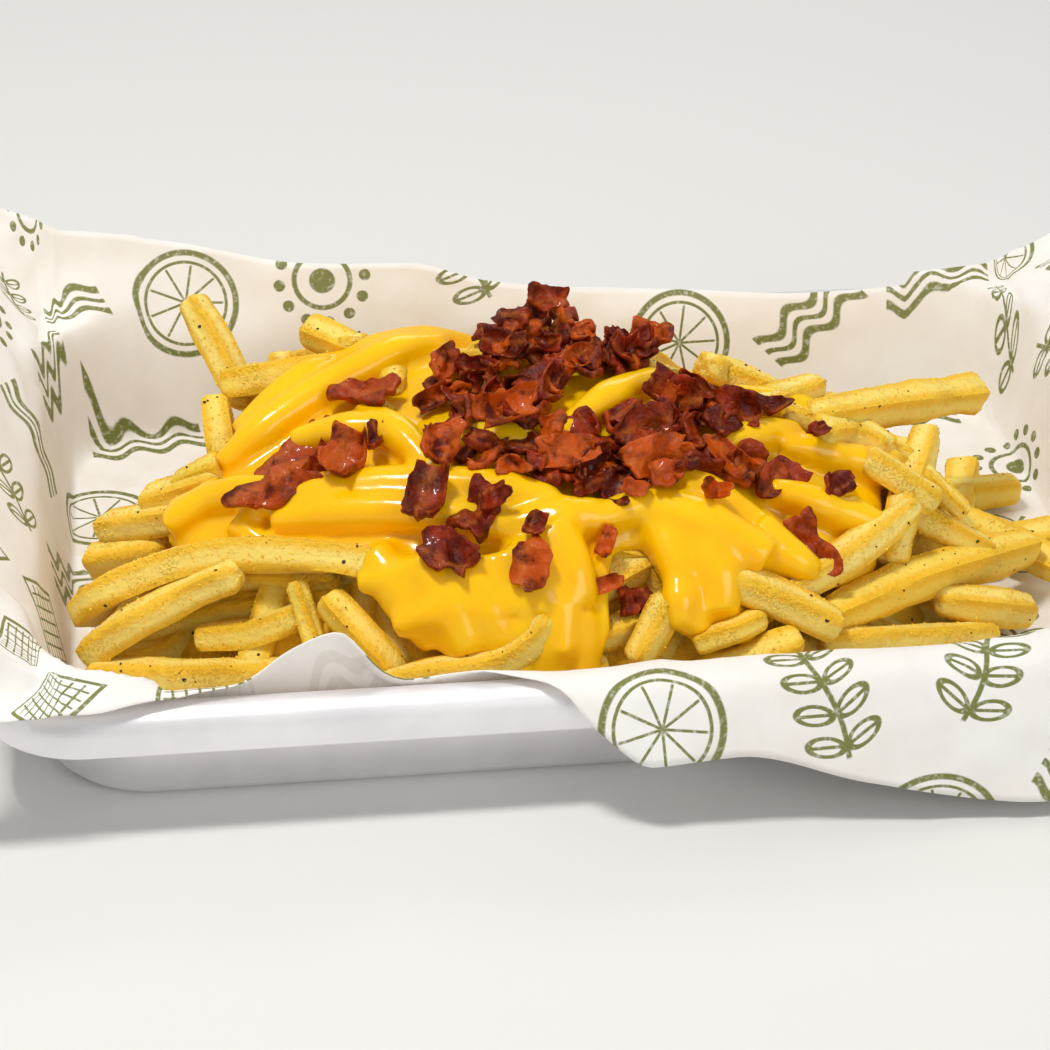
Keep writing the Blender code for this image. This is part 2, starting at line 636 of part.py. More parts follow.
def make_pile():
    rng = random.Random(SEED + 2)
    reach = outline_reach(PILE_OUTLINE, PILE_CENTRE)

    def wide(angle):
        return 1.5 * reach(angle)

    def top(x, y, fraction):
        return pile_floor(x, y) + 0.7 + 2.0 * (1 - fraction ** 3) + 0.8 * noise(Vector((x, y, 3)) / 7)

    def under(x, y, fraction):
        return pile_floor(x, y)

    def cut_level(x, y, fraction):
        return pile_floor(x, y) - 0.15

    def cut_foot(x, y, fraction):
        return 8.0

    over = polar_rings(PILE_CENTRE, reach, (0.05, 0.45, 0.8, 1.0), top, 18)
    below = polar_rings(PILE_CENTRE, reach, (0.96, 0.6, 0.05), under, 18)
    pile = finish_object("bacon_pile", loft(over + below), "bacon")
    cut_rings = polar_rings(PILE_CENTRE, wide, (0.05, 0.4, 0.64, 0.82, 1.0), cut_level, 18)
    cut_rings += polar_rings(PILE_CENTRE, wide, (0.95, 0.05), cut_foot, 18)
    cutter = finish_object("pile_cutter", loft(cut_rings), "bacon")
    chips = []
    for x, y, turn, lean, length, width in PILE_PIECES:
        chip = bacon_plate(length, width, rng.uniform(0.5, 2.0), rng, (3, 1))
        stand_up = 0.9 + 0.24 * width * math.sin(math.radians(lean))
        lay_on_slope(chip, x, y, pile_floor(x, y) + stand_up, turn, lean, heap_z)
        chips.append(finish_object("chip", chip, "bacon"))
    join_collection(pile, chips)
    shorten(pile, cutter)
    bpy.data.objects.remove(cutter, do_unlink=True)
    keep_largest(pile)
    return pile


def tree(thing):
    bm = bmesh.new()
    bm.from_mesh(thing.data)
    bm.transform(thing.matrix_world)
    made = BVHTree.FromBMesh(bm)
    points = [vert.co.copy() for vert in bm.verts]
    bm.free()
    return made, points


def lift_clear(thing, others, gap=0.00042, step=0.00025):
    """Raises a piece until it is clear of everything it lies on."""
    supports = [tree(other) for other in others]
    for _ in range(60):
        own, points = tree(thing)
        clear = True
        for other, other_points in supports:
            near = [point for point in other_points if (point - points[0]).length < 0.03]
            if own.overlap(other):
                clear = False
            elif min(other.find_nearest(point)[3] for point in points) < gap:
                clear = False
            elif near and min(own.find_nearest(point)[3] for point in near) < gap:
                clear = False
        if clear:
            return
        thing.data.transform(Matrix.Translation((0, 0, step)))


def make_loose_bacon(supports):
    rng = random.Random(SEED + 3)
    made = []
    for name, (x, y, turn, length, width, curl) in LOOSE_BACON.items():
        chip = bacon_plate(length, width, curl, rng)
        lay_on_slope(chip, x, y, sauce_top(x, y) + 1.5, turn, 0.0, heap_z)
        thing = finish_object(name, chip, "bacon")
        lift_clear(thing, supports + made)
        made.append(thing)
    return made


def main():
    clear_scene()
    make_pan()
    make_liner()
    cutter = make_sauce_cutter()
    fries = make_fries(cutter)
    bpy.data.objects.remove(cutter, do_unlink=True)
    sauce = finish_object("cheese_sauce", sauce_body(), "cheese")
    pile = make_pile()
    lift_clear(pile, [sauce, fries])
    make_loose_bacon([sauce, fries, pile])


main()
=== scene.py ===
# %% [markdown]
# # Cheese fries in a lined sheet pan
# This lesson dresses a small aluminium sheet pan of fries, cheese sauce and chopped bacon.
# The solids underneath already have the right size and place. Here every surface is made again
# as a finer mesh with its own material, and each new piece hides the solid it stands for.

# %% Load the frame and measure it
import math
import random

import bmesh
import bpy
from mathutils import Matrix, Vector
from mathutils.bvhtree import BVHTree
from mathutils.noise import noise


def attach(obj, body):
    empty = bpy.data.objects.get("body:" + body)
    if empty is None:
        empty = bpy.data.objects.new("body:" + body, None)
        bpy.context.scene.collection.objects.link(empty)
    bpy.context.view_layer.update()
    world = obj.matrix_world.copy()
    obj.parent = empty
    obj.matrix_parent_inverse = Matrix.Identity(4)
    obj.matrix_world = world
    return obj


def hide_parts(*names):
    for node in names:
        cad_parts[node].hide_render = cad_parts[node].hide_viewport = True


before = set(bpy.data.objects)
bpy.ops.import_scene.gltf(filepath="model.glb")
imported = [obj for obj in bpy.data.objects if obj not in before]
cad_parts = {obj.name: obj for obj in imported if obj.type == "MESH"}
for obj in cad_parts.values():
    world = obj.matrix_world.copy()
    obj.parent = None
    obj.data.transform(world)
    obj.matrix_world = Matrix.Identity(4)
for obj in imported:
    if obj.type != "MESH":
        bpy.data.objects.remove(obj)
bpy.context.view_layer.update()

MM = 0.001
SEED = 11

# %% [markdown]
# ## Shader maths as plain arithmetic
# A pattern such as pepper specks is a sum of small masks. Wiring Math nodes by hand hides the
# idea, so a small class wraps a socket and lets Python's operators add the nodes. Every other
# node comes from one method that sets the node up first and feeds its sockets afterwards.

# %% A socket that can be added and multiplied
class Signal:
    def __init__(self, finish, socket):
        self.finish, self.socket = finish, socket

    def maths(self, operation, *others):
        inputs = dict(enumerate((self, *others)))
        return self.finish.node("ShaderNodeMath", {"operation": operation}, inputs)

    def __add__(self, other):
        return self.maths("ADD", other)

    def __sub__(self, other):
        return self.maths("SUBTRACT", other)

    def __rsub__(self, other):
        return self.finish.node("ShaderNodeMath", {"operation": "SUBTRACT"}, {0: other, 1: self})

    def __mul__(self, other):
        return self.maths("MULTIPLY", other)

    __radd__ = __add__
    __rmul__ = __mul__

    def size(self):
        return self.maths("ABSOLUTE")

    def fraction(self):
        return self - self.maths("FLOOR")

    def smooth(self, low, high):
        """0 below low and 1 above high, with a soft step between; high may be the smaller."""
        fade = self.finish.node("ShaderNodeMapRange", {"interpolation_type": "SMOOTHSTEP"},
                                {0: self, 1: min(low, high), 2: max(low, high)})
        return fade if low < high else 1 - fade


# %% A material that is built from nodes
class Finish:
    def __init__(self, name, roughness=0.5, metallic=0.0, **others):
        self.material = bpy.data.materials.new(name)
        self.material.use_nodes = True
        self.tree = self.material.node_tree
        self.shader = self.tree.nodes["Principled BSDF"]
        self.set("Roughness", roughness)
        self.set("Metallic", metallic)
        for socket, value in others.items():
            self.set(socket.replace("_", " "), value)

    def node(self, kind, settings=None, sockets=None, output=0):
        made = self.tree.nodes.new(kind)
        for key, value in (settings or {}).items():
            setattr(made, key, value)
        for key, value in (sockets or {}).items():
            self.feed(made.inputs[key], value)
        return Signal(self, made.outputs[output])

    def feed(self, socket, value):
        if isinstance(value, Signal):
            self.tree.links.new(value.socket, socket)
        else:
            socket.default_value = value

    def set(self, socket, value):
        self.feed(self.shader.inputs[socket], value)

    def place(self):
        return self.node("ShaderNodeTexCoord", output=3)

    def noise(self, where, scale, detail=3.0, rough=0.55):
        return self.node("ShaderNodeTexNoise", None,
                         {"Vector": where, "Scale": scale, "Detail": detail, "Roughness": rough})

    def mix(self, share, first, second):
        return self.node("ShaderNodeMix", {"data_type": "RGBA"}, {0: share, 6: first, 7: second}, output=2)

    def attribute(self, name):
        return self.node("ShaderNodeAttribute", {"attribute_name": name}, output=2)

    def bump(self, height, distance, strength=1.0):
        normal = self.node("ShaderNodeBump", None,
                           {"Height": height, "Distance": distance, "Strength": strength})
        self.set("Normal", normal)

    def describe(self):
        print(self.material.name, "is made of", len(self.tree.nodes), "nodes")


def tint(red, green, blue):
    """A screen colour from 0 to 255 as the linear colour that shaders take."""
    return tuple((c / 12.92 if c <= 0.04045 else ((c + 0.055) / 1.055) ** 2.4)
                 for c in (red / 255, green / 255, blue / 255)) + (1.0,)


print("a middle grey is", [round(c, 3) for c in tint(128, 128, 128)])

# %% [markdown]
# ## Turning a bmesh into a piece
# Shapes are thought out in millimetres, because food is measured that way. The helper scales
# the mesh to metres, leaves the object at the origin, and hides the solids that the piece stands for.

# %% Finish a piece
def piece(name, bm, finishes, replaced=(), smooth_angle=None):
    bmesh.ops.scale(bm, vec=(MM, MM, MM), verts=bm.verts)
    mesh = bpy.data.meshes.new(name)
    bm.to_mesh(mesh)
    bm.free()
    mesh.shade_smooth()
    if smooth_angle:
        mesh.set_sharp_from_angle(angle=math.radians(smooth_angle))
    for finish in finishes:
        mesh.materials.append(finish.material)
    made = bpy.data.objects.new(name, mesh)
    bpy.context.scene.collection.objects.link(made)
    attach(made, "root")
    if replaced:
        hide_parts(*replaced)
    return made


def add_part(bm, part):
    """Moves a small bmesh into a large one. Operators on the small one stay quick."""
    mesh = bpy.data.meshes.new("part")
    part.to_mesh(mesh)
    part.free()
    bm.from_mesh(mesh)
    bpy.data.meshes.remove(mesh)


def new_part(*names):
    """A bmesh whose points carry the named values."""
    part = bmesh.new()
    return part, [part.verts.layers.float.new(name) for name in names]


def report(made):
    graph = bpy.context.evaluated_depsgraph_get()
    mesh = made.evaluated_get(graph).to_mesh()
    mesh.calc_loop_triangles()
    print(f"{made.name}: {len(mesh.loop_triangles)} triangles")


# %% Small helpers for curves and ramps
def smooth_step(low, high, value):
    t = min(max((value - low) / (high - low), 0.0), 1.0)
    return t * t * (3 - 2 * t)


def along(points, value):
    """A smooth curve through a few (position, height) points, without overshoot."""
    if value <= points[0][0]:
        return points[0][1]
    if value >= points[-1][0]:
        return points[-1][1]
    spans = [(b[1] - a[1]) / (b[0] - a[0]) for a, b in zip(points, points[1:])]
    tangents = [spans[0]] + [0.0 if a * b <= 0 else 2 * a * b / (a + b)
                             for a, b in zip(spans, spans[1:])] + [spans[-1]]
    for index, (low, high) in enumerate(zip(points, points[1:])):
        if value <= high[0]:
            width = high[0] - low[0]
            t = (value - low[0]) / width
            rise = t * t * (3 - 2 * t)
            pull = tangents[index] * t * (1 - t) ** 2 - tangents[index + 1] * t * t * (1 - t)
            return low[1] + (high[1] - low[1]) * rise + width * pull


def wander(x, y, z):
    """Smooth noise, from about -1 to 1."""
    return noise(Vector((x, y, z)))


def soften(bm, verts, factor):
    bmesh.ops.smooth_vert(bm, verts=verts, factor=factor,
                          use_axis_x=True, use_axis_y=True, use_axis_z=True)


def through(points, steps):
    """A Catmull-Rom curve through the points, with a few steps in each span."""
    knots = [Vector(point) for point in points]
    ends = [2 * knots[0] - knots[1]] + knots + [2 * knots[-1] - knots[-2]]
    curve = []
    for a, b, c, d in zip(ends, ends[1:], ends[2:], ends[3:]):
        for step in range(steps):
            t = step / steps
            curve.append(0.5 * (2 * b + (c - a) * t + (2 * a - 5 * b + 4 * c - d) * t * t
                                + (3 * b - a - 3 * c + d) * t ** 3))
    return curve + [knots[-1]]


def loop_edges(bm, loop):
    return [bm.edges.get((vert, loop[index - 1])) or bm.edges.new((vert, loop[index - 1]))
            for index, vert in enumerate(loop)]


def loft(bm, rings):
    """Adds a closed body: a circle is moved onto the first ring and extruded from ring to ring."""
    loop = bmesh.ops.create_circle(bm, segments=len(rings[0]), radius=1.0)["verts"]
    made = [loop]
    for vert, point in zip(loop, rings[0]):
        vert.co = point
    bmesh.ops.contextual_create(bm, geom=loop_edges(bm, loop))
    for ring in rings[1:]:
        grown = bmesh.ops.extrude_edge_only(bm, edges=loop_edges(bm, loop))["geom"]
        old = {vert: index for index, vert in enumerate(loop)}
        following = [None] * len(loop)
        for vert in (item for item in grown if isinstance(item, bmesh.types.BMVert)):
            for edge in vert.link_edges:
                if edge.other_vert(vert) in old:
                    following[old[edge.other_vert(vert)]] = vert
        loop = following
        for vert, point in zip(loop, ring):
            vert.co = point
        made.append(loop)
    bmesh.ops.contextual_create(bm, geom=loop_edges(bm, loop))
    return made


print("halfway up a ramp:", along([(0, 0), (10, 5)], 5.0))

# %% [markdown]
# ## The sheet pan
# A small sheet pan is pressed from one sheet of aluminium: a flat floor, walls that lean out,
# and a rim that rolls over and hangs down as a hem. A Bevel on a box could not give the rolled
# rim, so one profile is carried round a rounded rectangle, and the rim's arcs come from a
# smooth curve through its main points.

# %% The pan's sizes
PAN_HALF_X, PAN_HALF_Y, PAN_HEIGHT, PAN_CORNER, PAN_WALL = 120.5, 82.5, 25.4, 19.0, 1.2
PAN_CORNER_STEPS = 18
# inset from the rim and height: underside and outer wall, then hem, rolled rim and inside
PAN_OUTSIDE = [(15.5, 0.0), (13.6, 0.15), (12.5, 0.7), (11.2, 2.6), (9.7, 11.5), (8.4, 20.4),
               (7.4, 22.8), (5.6, 23.9), (3.4, 24.0), (1.9, 23.2), (1.35, 21.6), (1.25, 17.7)]
PAN_INSIDE = [(0.9, 17.2), (0.15, 17.3), (0.0, 18.2), (0.0, 21.6), (0.5, 23.6), (1.9, 25.0),
              (4.2, PAN_HEIGHT), (6.3, 24.9), (7.9, 23.4), (9.3, 21.3), (10.9, 12.3), (12.4, 3.4),
              (13.2, 2.0), (14.4, 1.35), (16.0, PAN_WALL)]


def rounded_rectangle(inset, z):
    side_x, side_y = PAN_HALF_X - inset - PAN_CORNER, PAN_HALF_Y - inset - PAN_CORNER
    points = []
    for corner, (sx, sy) in enumerate(((1, 1), (-1, 1), (-1, -1), (1, -1))):
        for step in range(PAN_CORNER_STEPS + 1):
            angle = math.radians(90 * (corner + step / PAN_CORNER_STEPS))
            points.append(Vector((sx * side_x + PAN_CORNER * math.cos(angle),
                                  sy * side_y + PAN_CORNER * math.sin(angle), z)))
    return points


print("the pan is", 2 * PAN_HALF_X, "by", 2 * PAN_HALF_Y, "by", PAN_HEIGHT, "mm")

# %% The pan's metal
metal = Finish("drawn_aluminium", roughness=0.34, metallic=0.88)
where = metal.place()
# rolling marks run along the pan, rubbed scratches cross them, and oily hands leave dull clouds
rolled = metal.node("ShaderNodeMapping", None, {"Vector": where, "Scale": (18, 900, 900)})
rolling = metal.noise(rolled, 1.0, 4.0)
turned = metal.node("ShaderNodeMapping", None,
                    {"Vector": where, "Rotation": (0.3, 0.2, 0.6), "Scale": (40, 1500, 700)})
scratches = metal.noise(turned, 1.0, 2.0).smooth(0.66, 0.74)
clouds = metal.noise(where, 55, 4.0)
metal.set("Base Color", metal.mix(clouds.smooth(0.35, 0.7), tint(239, 237, 239), tint(247, 245, 246)))
metal.set("Roughness", 0.4 + clouds * 0.16 + scratches * 0.1 + rolling * 0.08)
metal.bump(rolling * 0.5 + scratches * 0.35 + clouds * 0.6, 0.00006, 0.6)
metal.describe()

# %% Make the pan
bm = bmesh.new()
loft(bm, [rounded_rectangle(inset, z) for inset, z in PAN_OUTSIDE + PAN_INSIDE])
bmesh.ops.recalc_face_normals(bm, faces=bm.faces)
pan = piece("sheet_pan", bm, [metal], ["tray"], 35)
report(pan)

# %% [markdown]
# ## The paper liner
# Greaseproof paper lies in the pan, stands up its walls and spreads past the rim. At the front
# it rises in one wave on the left and folds down over the rim on the right. A cloth simulation
# would crumple it at random, so the sheet is a fine grid whose points follow the pan by rule:
# each point keeps its place on the flat sheet, which later carries the print.

# %% The paper's sizes
PAPER = 0.28
PAPER_FLOOR = 1.6
PAPER_HALF_X, PAPER_HALF_Y, PAPER_CORNER = 105.5, 67.3, 17.5
WALL_RUN, WALL_OUT, WALL_UP = 24.0, 0.25, 0.968
RIM_CLEAR = 27.0
# how far the sheet's edge lies from the foot of the wall, measured along the paper
BACK_EDGE = [(-165, 56), (-118, 49), (-79, 43.5), (-52, 39), (-28, 38.5), (-11, 33.5), (7, 30.5),
             (40, 28), (60, 27), (80, 28), (105, 30), (165, 36)]
FRONT_EDGE = [(-165, 34), (-118, 34), (-100, 32.5), (-86, 30), (-74, 27.5), (-62, 26), (-44, 25),
              (-36, 26), (-20, 31), (-10, 42), (0, 49), (16, 48), (40, 55), (75, 63), (110, 65), (165, 65)]
# past the foot of the front wall: how far out and how high the sheet is, by the length run
FRONT_OUT = [(0, 0), (14, 3.9), (22.5, 6.2), (28.5, 11), (34, 16.4), (42, 20.8), (52, 24.2), (65, 28)]
FRONT_UP = [(0, 0), (14, 13.5), (22.5, 21.7), (28.5, 25.6), (34, 25), (42, 18.6), (52, 9.2), (65, -0.9)]
FOLD_FROM, FOLD_TO = 20.0, 40.0
LEFT_REACH, RIGHT_REACH = 58.0, 50.0
LEAN_LEFT, LEAN_RIGHT, LEAN_BACK = 0.5, 0.72, 0.33
OPEN_OUT, OPEN_UP = 0.62, 0.45
# one wave stands up in front: where, how high, how wide to each side, and where it starts
WAVE_PEAK, WAVE_RISE, WAVE_LEFT, WAVE_RIGHT = -56.0, 11.0, 11.5, 6.5
WAVE_FROM, WAVE_TO = 8.0, 24.0
# a high power joins floor, wall and corner in a tight round
JOIN = 6
CLIMB_FROM, CLIMB = 52.0, 0.0045
RIPPLE, RIPPLE_LENGTH = 2.2, 19.0
PAPER_COLUMNS, PAPER_ROWS = 176, 138


# %% Where a point of the sheet goes
def stand(run, lean):
    """Paper standing against the wall and, past the rim, free: offset and height."""
    wall, free = min(run, WALL_RUN), max(run - WALL_RUN, 0.0)
    return WALL_OUT * wall + lean * free, WALL_UP * wall + math.sqrt(1 - lean * lean) * free


def liner_point(p, q):
    """Where the flat sheet's point (p, q) lies in the pan."""
    run_x, run_y = abs(p) - PAPER_HALF_X, abs(q) - PAPER_HALF_Y
    out_x, up_x = stand(run_x, LEAN_RIGHT if p > 0 else LEAN_LEFT) if run_x > 0 else (0.0, 0.0)
    out_y, up_y, outside = 0.0, 0.0, 0.0
    if run_y > 0 and q > 0:
        out_y, up_y = stand(run_y, LEAN_BACK)
    elif run_y > 0:
        out_y, up_y = along(FRONT_OUT, run_y), along(FRONT_UP, run_y)
        outside = smooth_step(FOLD_FROM, FOLD_TO, run_y)
    if run_x > 0:
        out_x += (OPEN_OUT * run_x - out_x) * outside
        up_x += (OPEN_UP * run_x - up_x) * outside
    x = math.copysign(min(abs(p), PAPER_HALF_X) + out_x, p)
    y = math.copysign(min(abs(q), PAPER_HALF_Y) + out_y, q)
    over_x, over_y = abs(x) - (PAPER_HALF_X - PAPER_CORNER), abs(y) - (PAPER_HALF_Y - PAPER_CORNER)
    corner = 0.0
    if over_x > 0 and over_y > 0:
        distance = math.hypot(over_x, over_y) - PAPER_CORNER
        corner = min(max(distance, 0.0) / WALL_OUT * WALL_UP, RIM_CLEAR) * (1 - outside)
    z = sum(max(rise, 0.0) ** JOIN for rise in (up_x, up_y, corner)) ** (1 / JOIN) + min(up_y, 0.0)
    if q < 0 and run_y > 0:
        rise = smooth_step(WAVE_FROM, WAVE_TO, run_y)
        side = WAVE_LEFT if x < WAVE_PEAK else WAVE_RIGHT
        z += WAVE_RISE * rise * math.exp(-((x - WAVE_PEAK) / side) ** 2)
        z += CLIMB * max(0.0, x - CLIMB_FROM) ** 2 * rise * (1 - 0.6 * outside)
    if q > 0 and run_y > 0:
        y += RIPPLE * smooth_step(10.0, 40.0, run_y) * math.sin(x / RIPPLE_LENGTH)
    return Vector((x, y, PAPER_FLOOR + z))


print("the paper's wave is", round(liner_point(WAVE_PEAK, -93.0).z, 1), "mm high")

# %% Creases and soft swells
def crease(p, q):
    """Paper that was crumpled once: sharp ridges where two folded fields meet."""
    folds = abs(wander(p / 34, q / 30, 4.2)) + 0.5 * abs(wander(p / 15, q / 17, 9.1))
    return 0.9 * (0.5 - folds) + 0.35 * wander(p / 9, q / 8, 1.7)


def sheet_place(column, row):
    """The flat sheet's point at a share of its length and of its width there."""
    p = -(PAPER_HALF_X + LEFT_REACH) + (2 * PAPER_HALF_X + LEFT_REACH + RIGHT_REACH) * column
    front = -(PAPER_HALF_Y + along(FRONT_EDGE, p))
    back = PAPER_HALF_Y + along(BACK_EDGE, p)
    return p, front + (back - front) * row


print("the sheet is", 2 * PAPER_HALF_X + LEFT_REACH + RIGHT_REACH, "mm long")

# %% [markdown]
# ## The print on the paper
# The paper is printed in one olive ink. The motifs here are plain kitchen-garden drawings laid
# on a brick pattern: a leafy sprig, a cut slice with spokes, wavy ribbons, a lattice diamond and
# a ring of dots. Each is a mask on the sheet's own flat coordinates, so it bends with the paper.

# %% Masks for one motif each
# metres from motif to motif, and a line's width as a share of that
MOTIF, LINE = 0.031, 0.035
# the rows lie at a slant, and each motif is turned at random over a range of angles
SLANT, SPIN = math.radians(-9), 1.5


def turned_tile(paper, flat):
    """Flat coordinates inside one tile, turned by a random angle, and the tile's own number."""
    level, down = (paper.node("ShaderNodeSeparateXYZ", None, {0: flat}, axis) * (1 / MOTIF)
                   for axis in (0, 1))
    row = down.maths("FLOOR")
    across = level + row * 0.5
    column = across.maths("FLOOR")
    tile = paper.node("ShaderNodeCombineXYZ", None, {0: column, 1: row, 2: 1.0})
    other = paper.node("ShaderNodeVectorMath", {"operation": "ADD"}, {0: tile, 1: (7.3, 2.1, 5.5)})
    pick, spin = (paper.node("ShaderNodeTexWhiteNoise", {"noise_dimensions": "3D"}, {"Vector": number})
                  for number in (tile, other))
    u, v = across - column - 0.5, down - row - 0.5
    angle = (spin - 0.5) * SPIN
    cosine, sine = angle.maths("COSINE"), angle.maths("SINE")
    return u * cosine - v * sine, u * sine + v * cosine, pick


def band(value, centre, half):
    """A line: 1 within half of the centre."""
    return (value - centre).size().smooth(half * 1.35, half * 0.75)


def distance(u, v):
    return (u * u + v * v).maths("SQRT")


def sprig(u, v):
    stem = band(u + (v * 9).maths("SINE") * 0.02, 0.0, LINE * 0.45) * v.size().smooth(0.42, 0.4)
    within = (v * 5.0).fraction() - 0.5
    side = u.size() - 0.12
    leaf = (side * side * 70 + (within - side * 1.6) * (within - side * 1.6) * 9).maths("SQRT")
    outline = band(leaf, 0.86, 0.16) + band(within - side * 1.6, 0.0, 0.05) * leaf.smooth(0.9, 0.8)
    return stem.maths("MAXIMUM", outline * v.size().smooth(0.4, 0.38) * u.size().smooth(0.26, 0.25))


def slice_of_fruit(u, v):
    far = distance(u, v)
    turn = v.maths("ARCTAN2", u) * (9 / (2 * math.pi))
    spoke = (turn.fraction() - 0.5) * far
    rings = band(far, 0.36, LINE * 0.6) + band(far, 0.29, LINE * 0.3)
    return (rings + band(spoke, 0.0, 0.012) * far.smooth(0.28, 0.26)).maths("MINIMUM", 1.0)


def wavy_ribbons(u, v):
    wave = v + (u * 19).maths("SINE") * 0.05
    three = band(wave, -0.12, 0.035) + band(wave, 0.0, 0.022) + band(wave, 0.12, 0.035)
    return three * u.size().smooth(0.42, 0.41)


def lattice(u, v):
    near = u.size() + v.size() * 1.25
    one, two = (u + v) * 9.0, (u - v) * 9.0
    mesh = band(one.fraction(), 0.5, 0.1) + band(two.fraction(), 0.5, 0.1)
    return (band(near, 0.42, LINE * 0.6) + mesh * near.smooth(0.38, 0.36)).maths("MINIMUM", 1.0)


def dotted_ring(u, v):
    far = distance(u, v)
    turn = v.maths("ARCTAN2", u) * (12 / (2 * math.pi))
    dot = distance((turn.fraction() - 0.5) * 0.16, far - 0.31).smooth(0.046, 0.038)
    return dot + band(far, 0.2, LINE * 0.5) + far.smooth(0.1, 0.085)


print("motifs repeat every", MOTIF / MM, "mm")

# %% The paper's two faces
PAPER_TINT, INK = tint(250, 246, 240), tint(114, 118, 54)


def paper_finish(name, ink_share):
    paper = Finish(name, roughness=0.58, Specular_IOR_Level=0.35, Subsurface_Weight=0.25,
                   Subsurface_Scale=0.003, Subsurface_Radius=(1.0, 0.92, 0.82))
    flat = paper.node("ShaderNodeUVMap", {"uv_map": "sheet"})
    slanted = paper.node("ShaderNodeMapping", None, {"Vector": flat, "Rotation": (0, 0, SLANT)})
    u, v, pick = turned_tile(paper, slanted)
    motifs = [sprig(u, v), slice_of_fruit(u, v), wavy_ribbons(u, v), lattice(u, v), dotted_ring(u, v)]
    ink = 0.0
    for index, motif in enumerate(motifs):
        low, high = index / len(motifs), (index + 1) / len(motifs)
        chosen = pick.maths("GREATER_THAN", low) * pick.maths("LESS_THAN", high)
        ink = motif * chosen + ink
    where = paper.place()
    worn = paper.noise(where, 900, 2.0).smooth(0.28, 0.5)
    fibres = paper.noise(where, 1400, 3.0)
    mottled = paper.noise(where, 60, 4.0)
    oil = paper.attribute("oil") * paper.noise(where, 130, 3.0).smooth(0.42, 0.62)
    ground = paper.mix(mottled.smooth(0.3, 0.75), PAPER_TINT, tint(243, 236, 227))
    ground = paper.mix(oil * 0.4, ground, tint(222, 202, 160))
    print_share = ink.maths("MINIMUM", 1.0) * (0.62 + worn * 0.38) * ink_share
    paper.set("Base Color", paper.mix(print_share, ground, INK))
    paper.set("Roughness", 0.62 - oil * 0.22)
    paper.bump(fibres * 0.5 + mottled * 1.5, 0.00005, 0.5)
    return paper


printed, reverse = paper_finish("printed_face", 1.0), paper_finish("show_through", 0.16)
printed.describe()

# %% Make the liner
bm = bmesh.new()
uv_layer = bm.loops.layers.uv.new("sheet")
oil_layer = bm.verts.layers.float.new("oil")
made = bmesh.ops.create_grid(bm, x_segments=PAPER_COLUMNS, y_segments=PAPER_ROWS, size=0.5)["verts"]
on_sheet = {}
for vert in made:
    p, q = sheet_place(vert.co.x + 0.5, vert.co.y + 0.5)
    on_sheet[vert] = (p, q)
    vert.co = liner_point(p, q)
soften(bm, [vert for vert in bm.verts if not vert.is_boundary], 0.5)
bm.normal_update()
for vert, (p, q) in on_sheet.items():
    free = max(abs(p) - PAPER_HALF_X, abs(q) - PAPER_HALF_Y) > WALL_RUN - 3
    amount = crease(p, q)
    up = 1.0 if vert.normal.z > 0 else -1.0
    vert.co += vert.normal * up * (amount * 1.5 if free else 0.3 + 0.35 * max(amount, 0.0))
for face in bm.faces:
    if face.normal.z < 0:
        face.normal_flip()
    for loop in face.loops:
        loop[uv_layer].uv = tuple(value * MM for value in on_sheet[loop.vert])
# the food's oil soaks into the paper under and around the heap
for vert, (p, q) in on_sheet.items():
    away = math.hypot((p + 8) / 112, q / 76)
    vert[oil_layer] = 1.0 - smooth_step(0.8, 1.12, away)
liner = piece("printed_liner", bm, [printed, reverse], ["paper_liner"])
wall = liner.modifiers.new("thickness", "SOLIDIFY")
wall.thickness = PAPER * MM
wall.offset = 1.0
wall.material_offset = 1
wall.material_offset_rim = 0
report(liner)

# %% [markdown]
# ## The heap that everything lies on
# The heap is a dome in front and an even slope behind, like fries tipped out of a basket. The
# same rule places the fries, the sauce and the bacon, so they always meet.

# %% The heap's rule
HEAP_X, HEAP_Y = -8.0, 2.0
HEAP_HALF_X, HEAP_HALF_Y, HEAP_TOP, HEAP_FOOT = 100.0, 74.0, 52.0, 3.0
CORE_HALF_X, CORE_HALF_Y, CORE_TOP, CORE_FOOT, CORE_BACK = 93.0, 67.0, 44.5, 2.6, 54.0
RIDGE_Y, RIDGE_SLANT, RIDGE_ROUND, BACK_SLOPE = -2.0, -0.25, 4.0, 0.66
FRY = 6.9
FOOD_FLOOR = 2.6
# turning by this angle from one thing to the next spreads them evenly
GOLDEN_TURN = 2.39996


def mound(x, y, half_x, half_y, top, foot):
    ridge = RIDGE_Y + RIDGE_SLANT * x
    front_y = min(y, ridge)
    q = ((x - HEAP_X) / half_x) ** 2 + ((front_y - HEAP_Y) / half_y) ** 2
    crest = top * max(0.0, 1 - q) ** 0.6 + foot
    fall = BACK_SLOPE * (math.hypot(max(y - ridge, 0.0), RIDGE_ROUND) - RIDGE_ROUND)
    return max(crest - fall, foot)


def heap_z(x, y):
    return mound(x, y, HEAP_HALF_X, HEAP_HALF_Y, HEAP_TOP, HEAP_FOOT)


def core_z(x, y):
    return mound(x, y, CORE_HALF_X, CORE_HALF_Y, CORE_TOP, CORE_FOOT)


def rings_round(centre, reach, fractions, height, sectors):
    """Rings about a centre, at fractions of a reach that depends on the angle."""
    rings = []
    for fraction in fractions:
        ring = []
        for sector in range(sectors):
            angle = 2 * math.pi * sector / sectors
            x = centre[0] + fraction * reach(angle) * math.cos(angle)
            y = centre[1] + fraction * reach(angle) * math.sin(angle)
            ring.append(Vector((x, y, height(x, y))))
        rings.append(ring)
    return rings


print("the heap is", round(heap_z(-8, -2), 1), "mm high under the bacon")
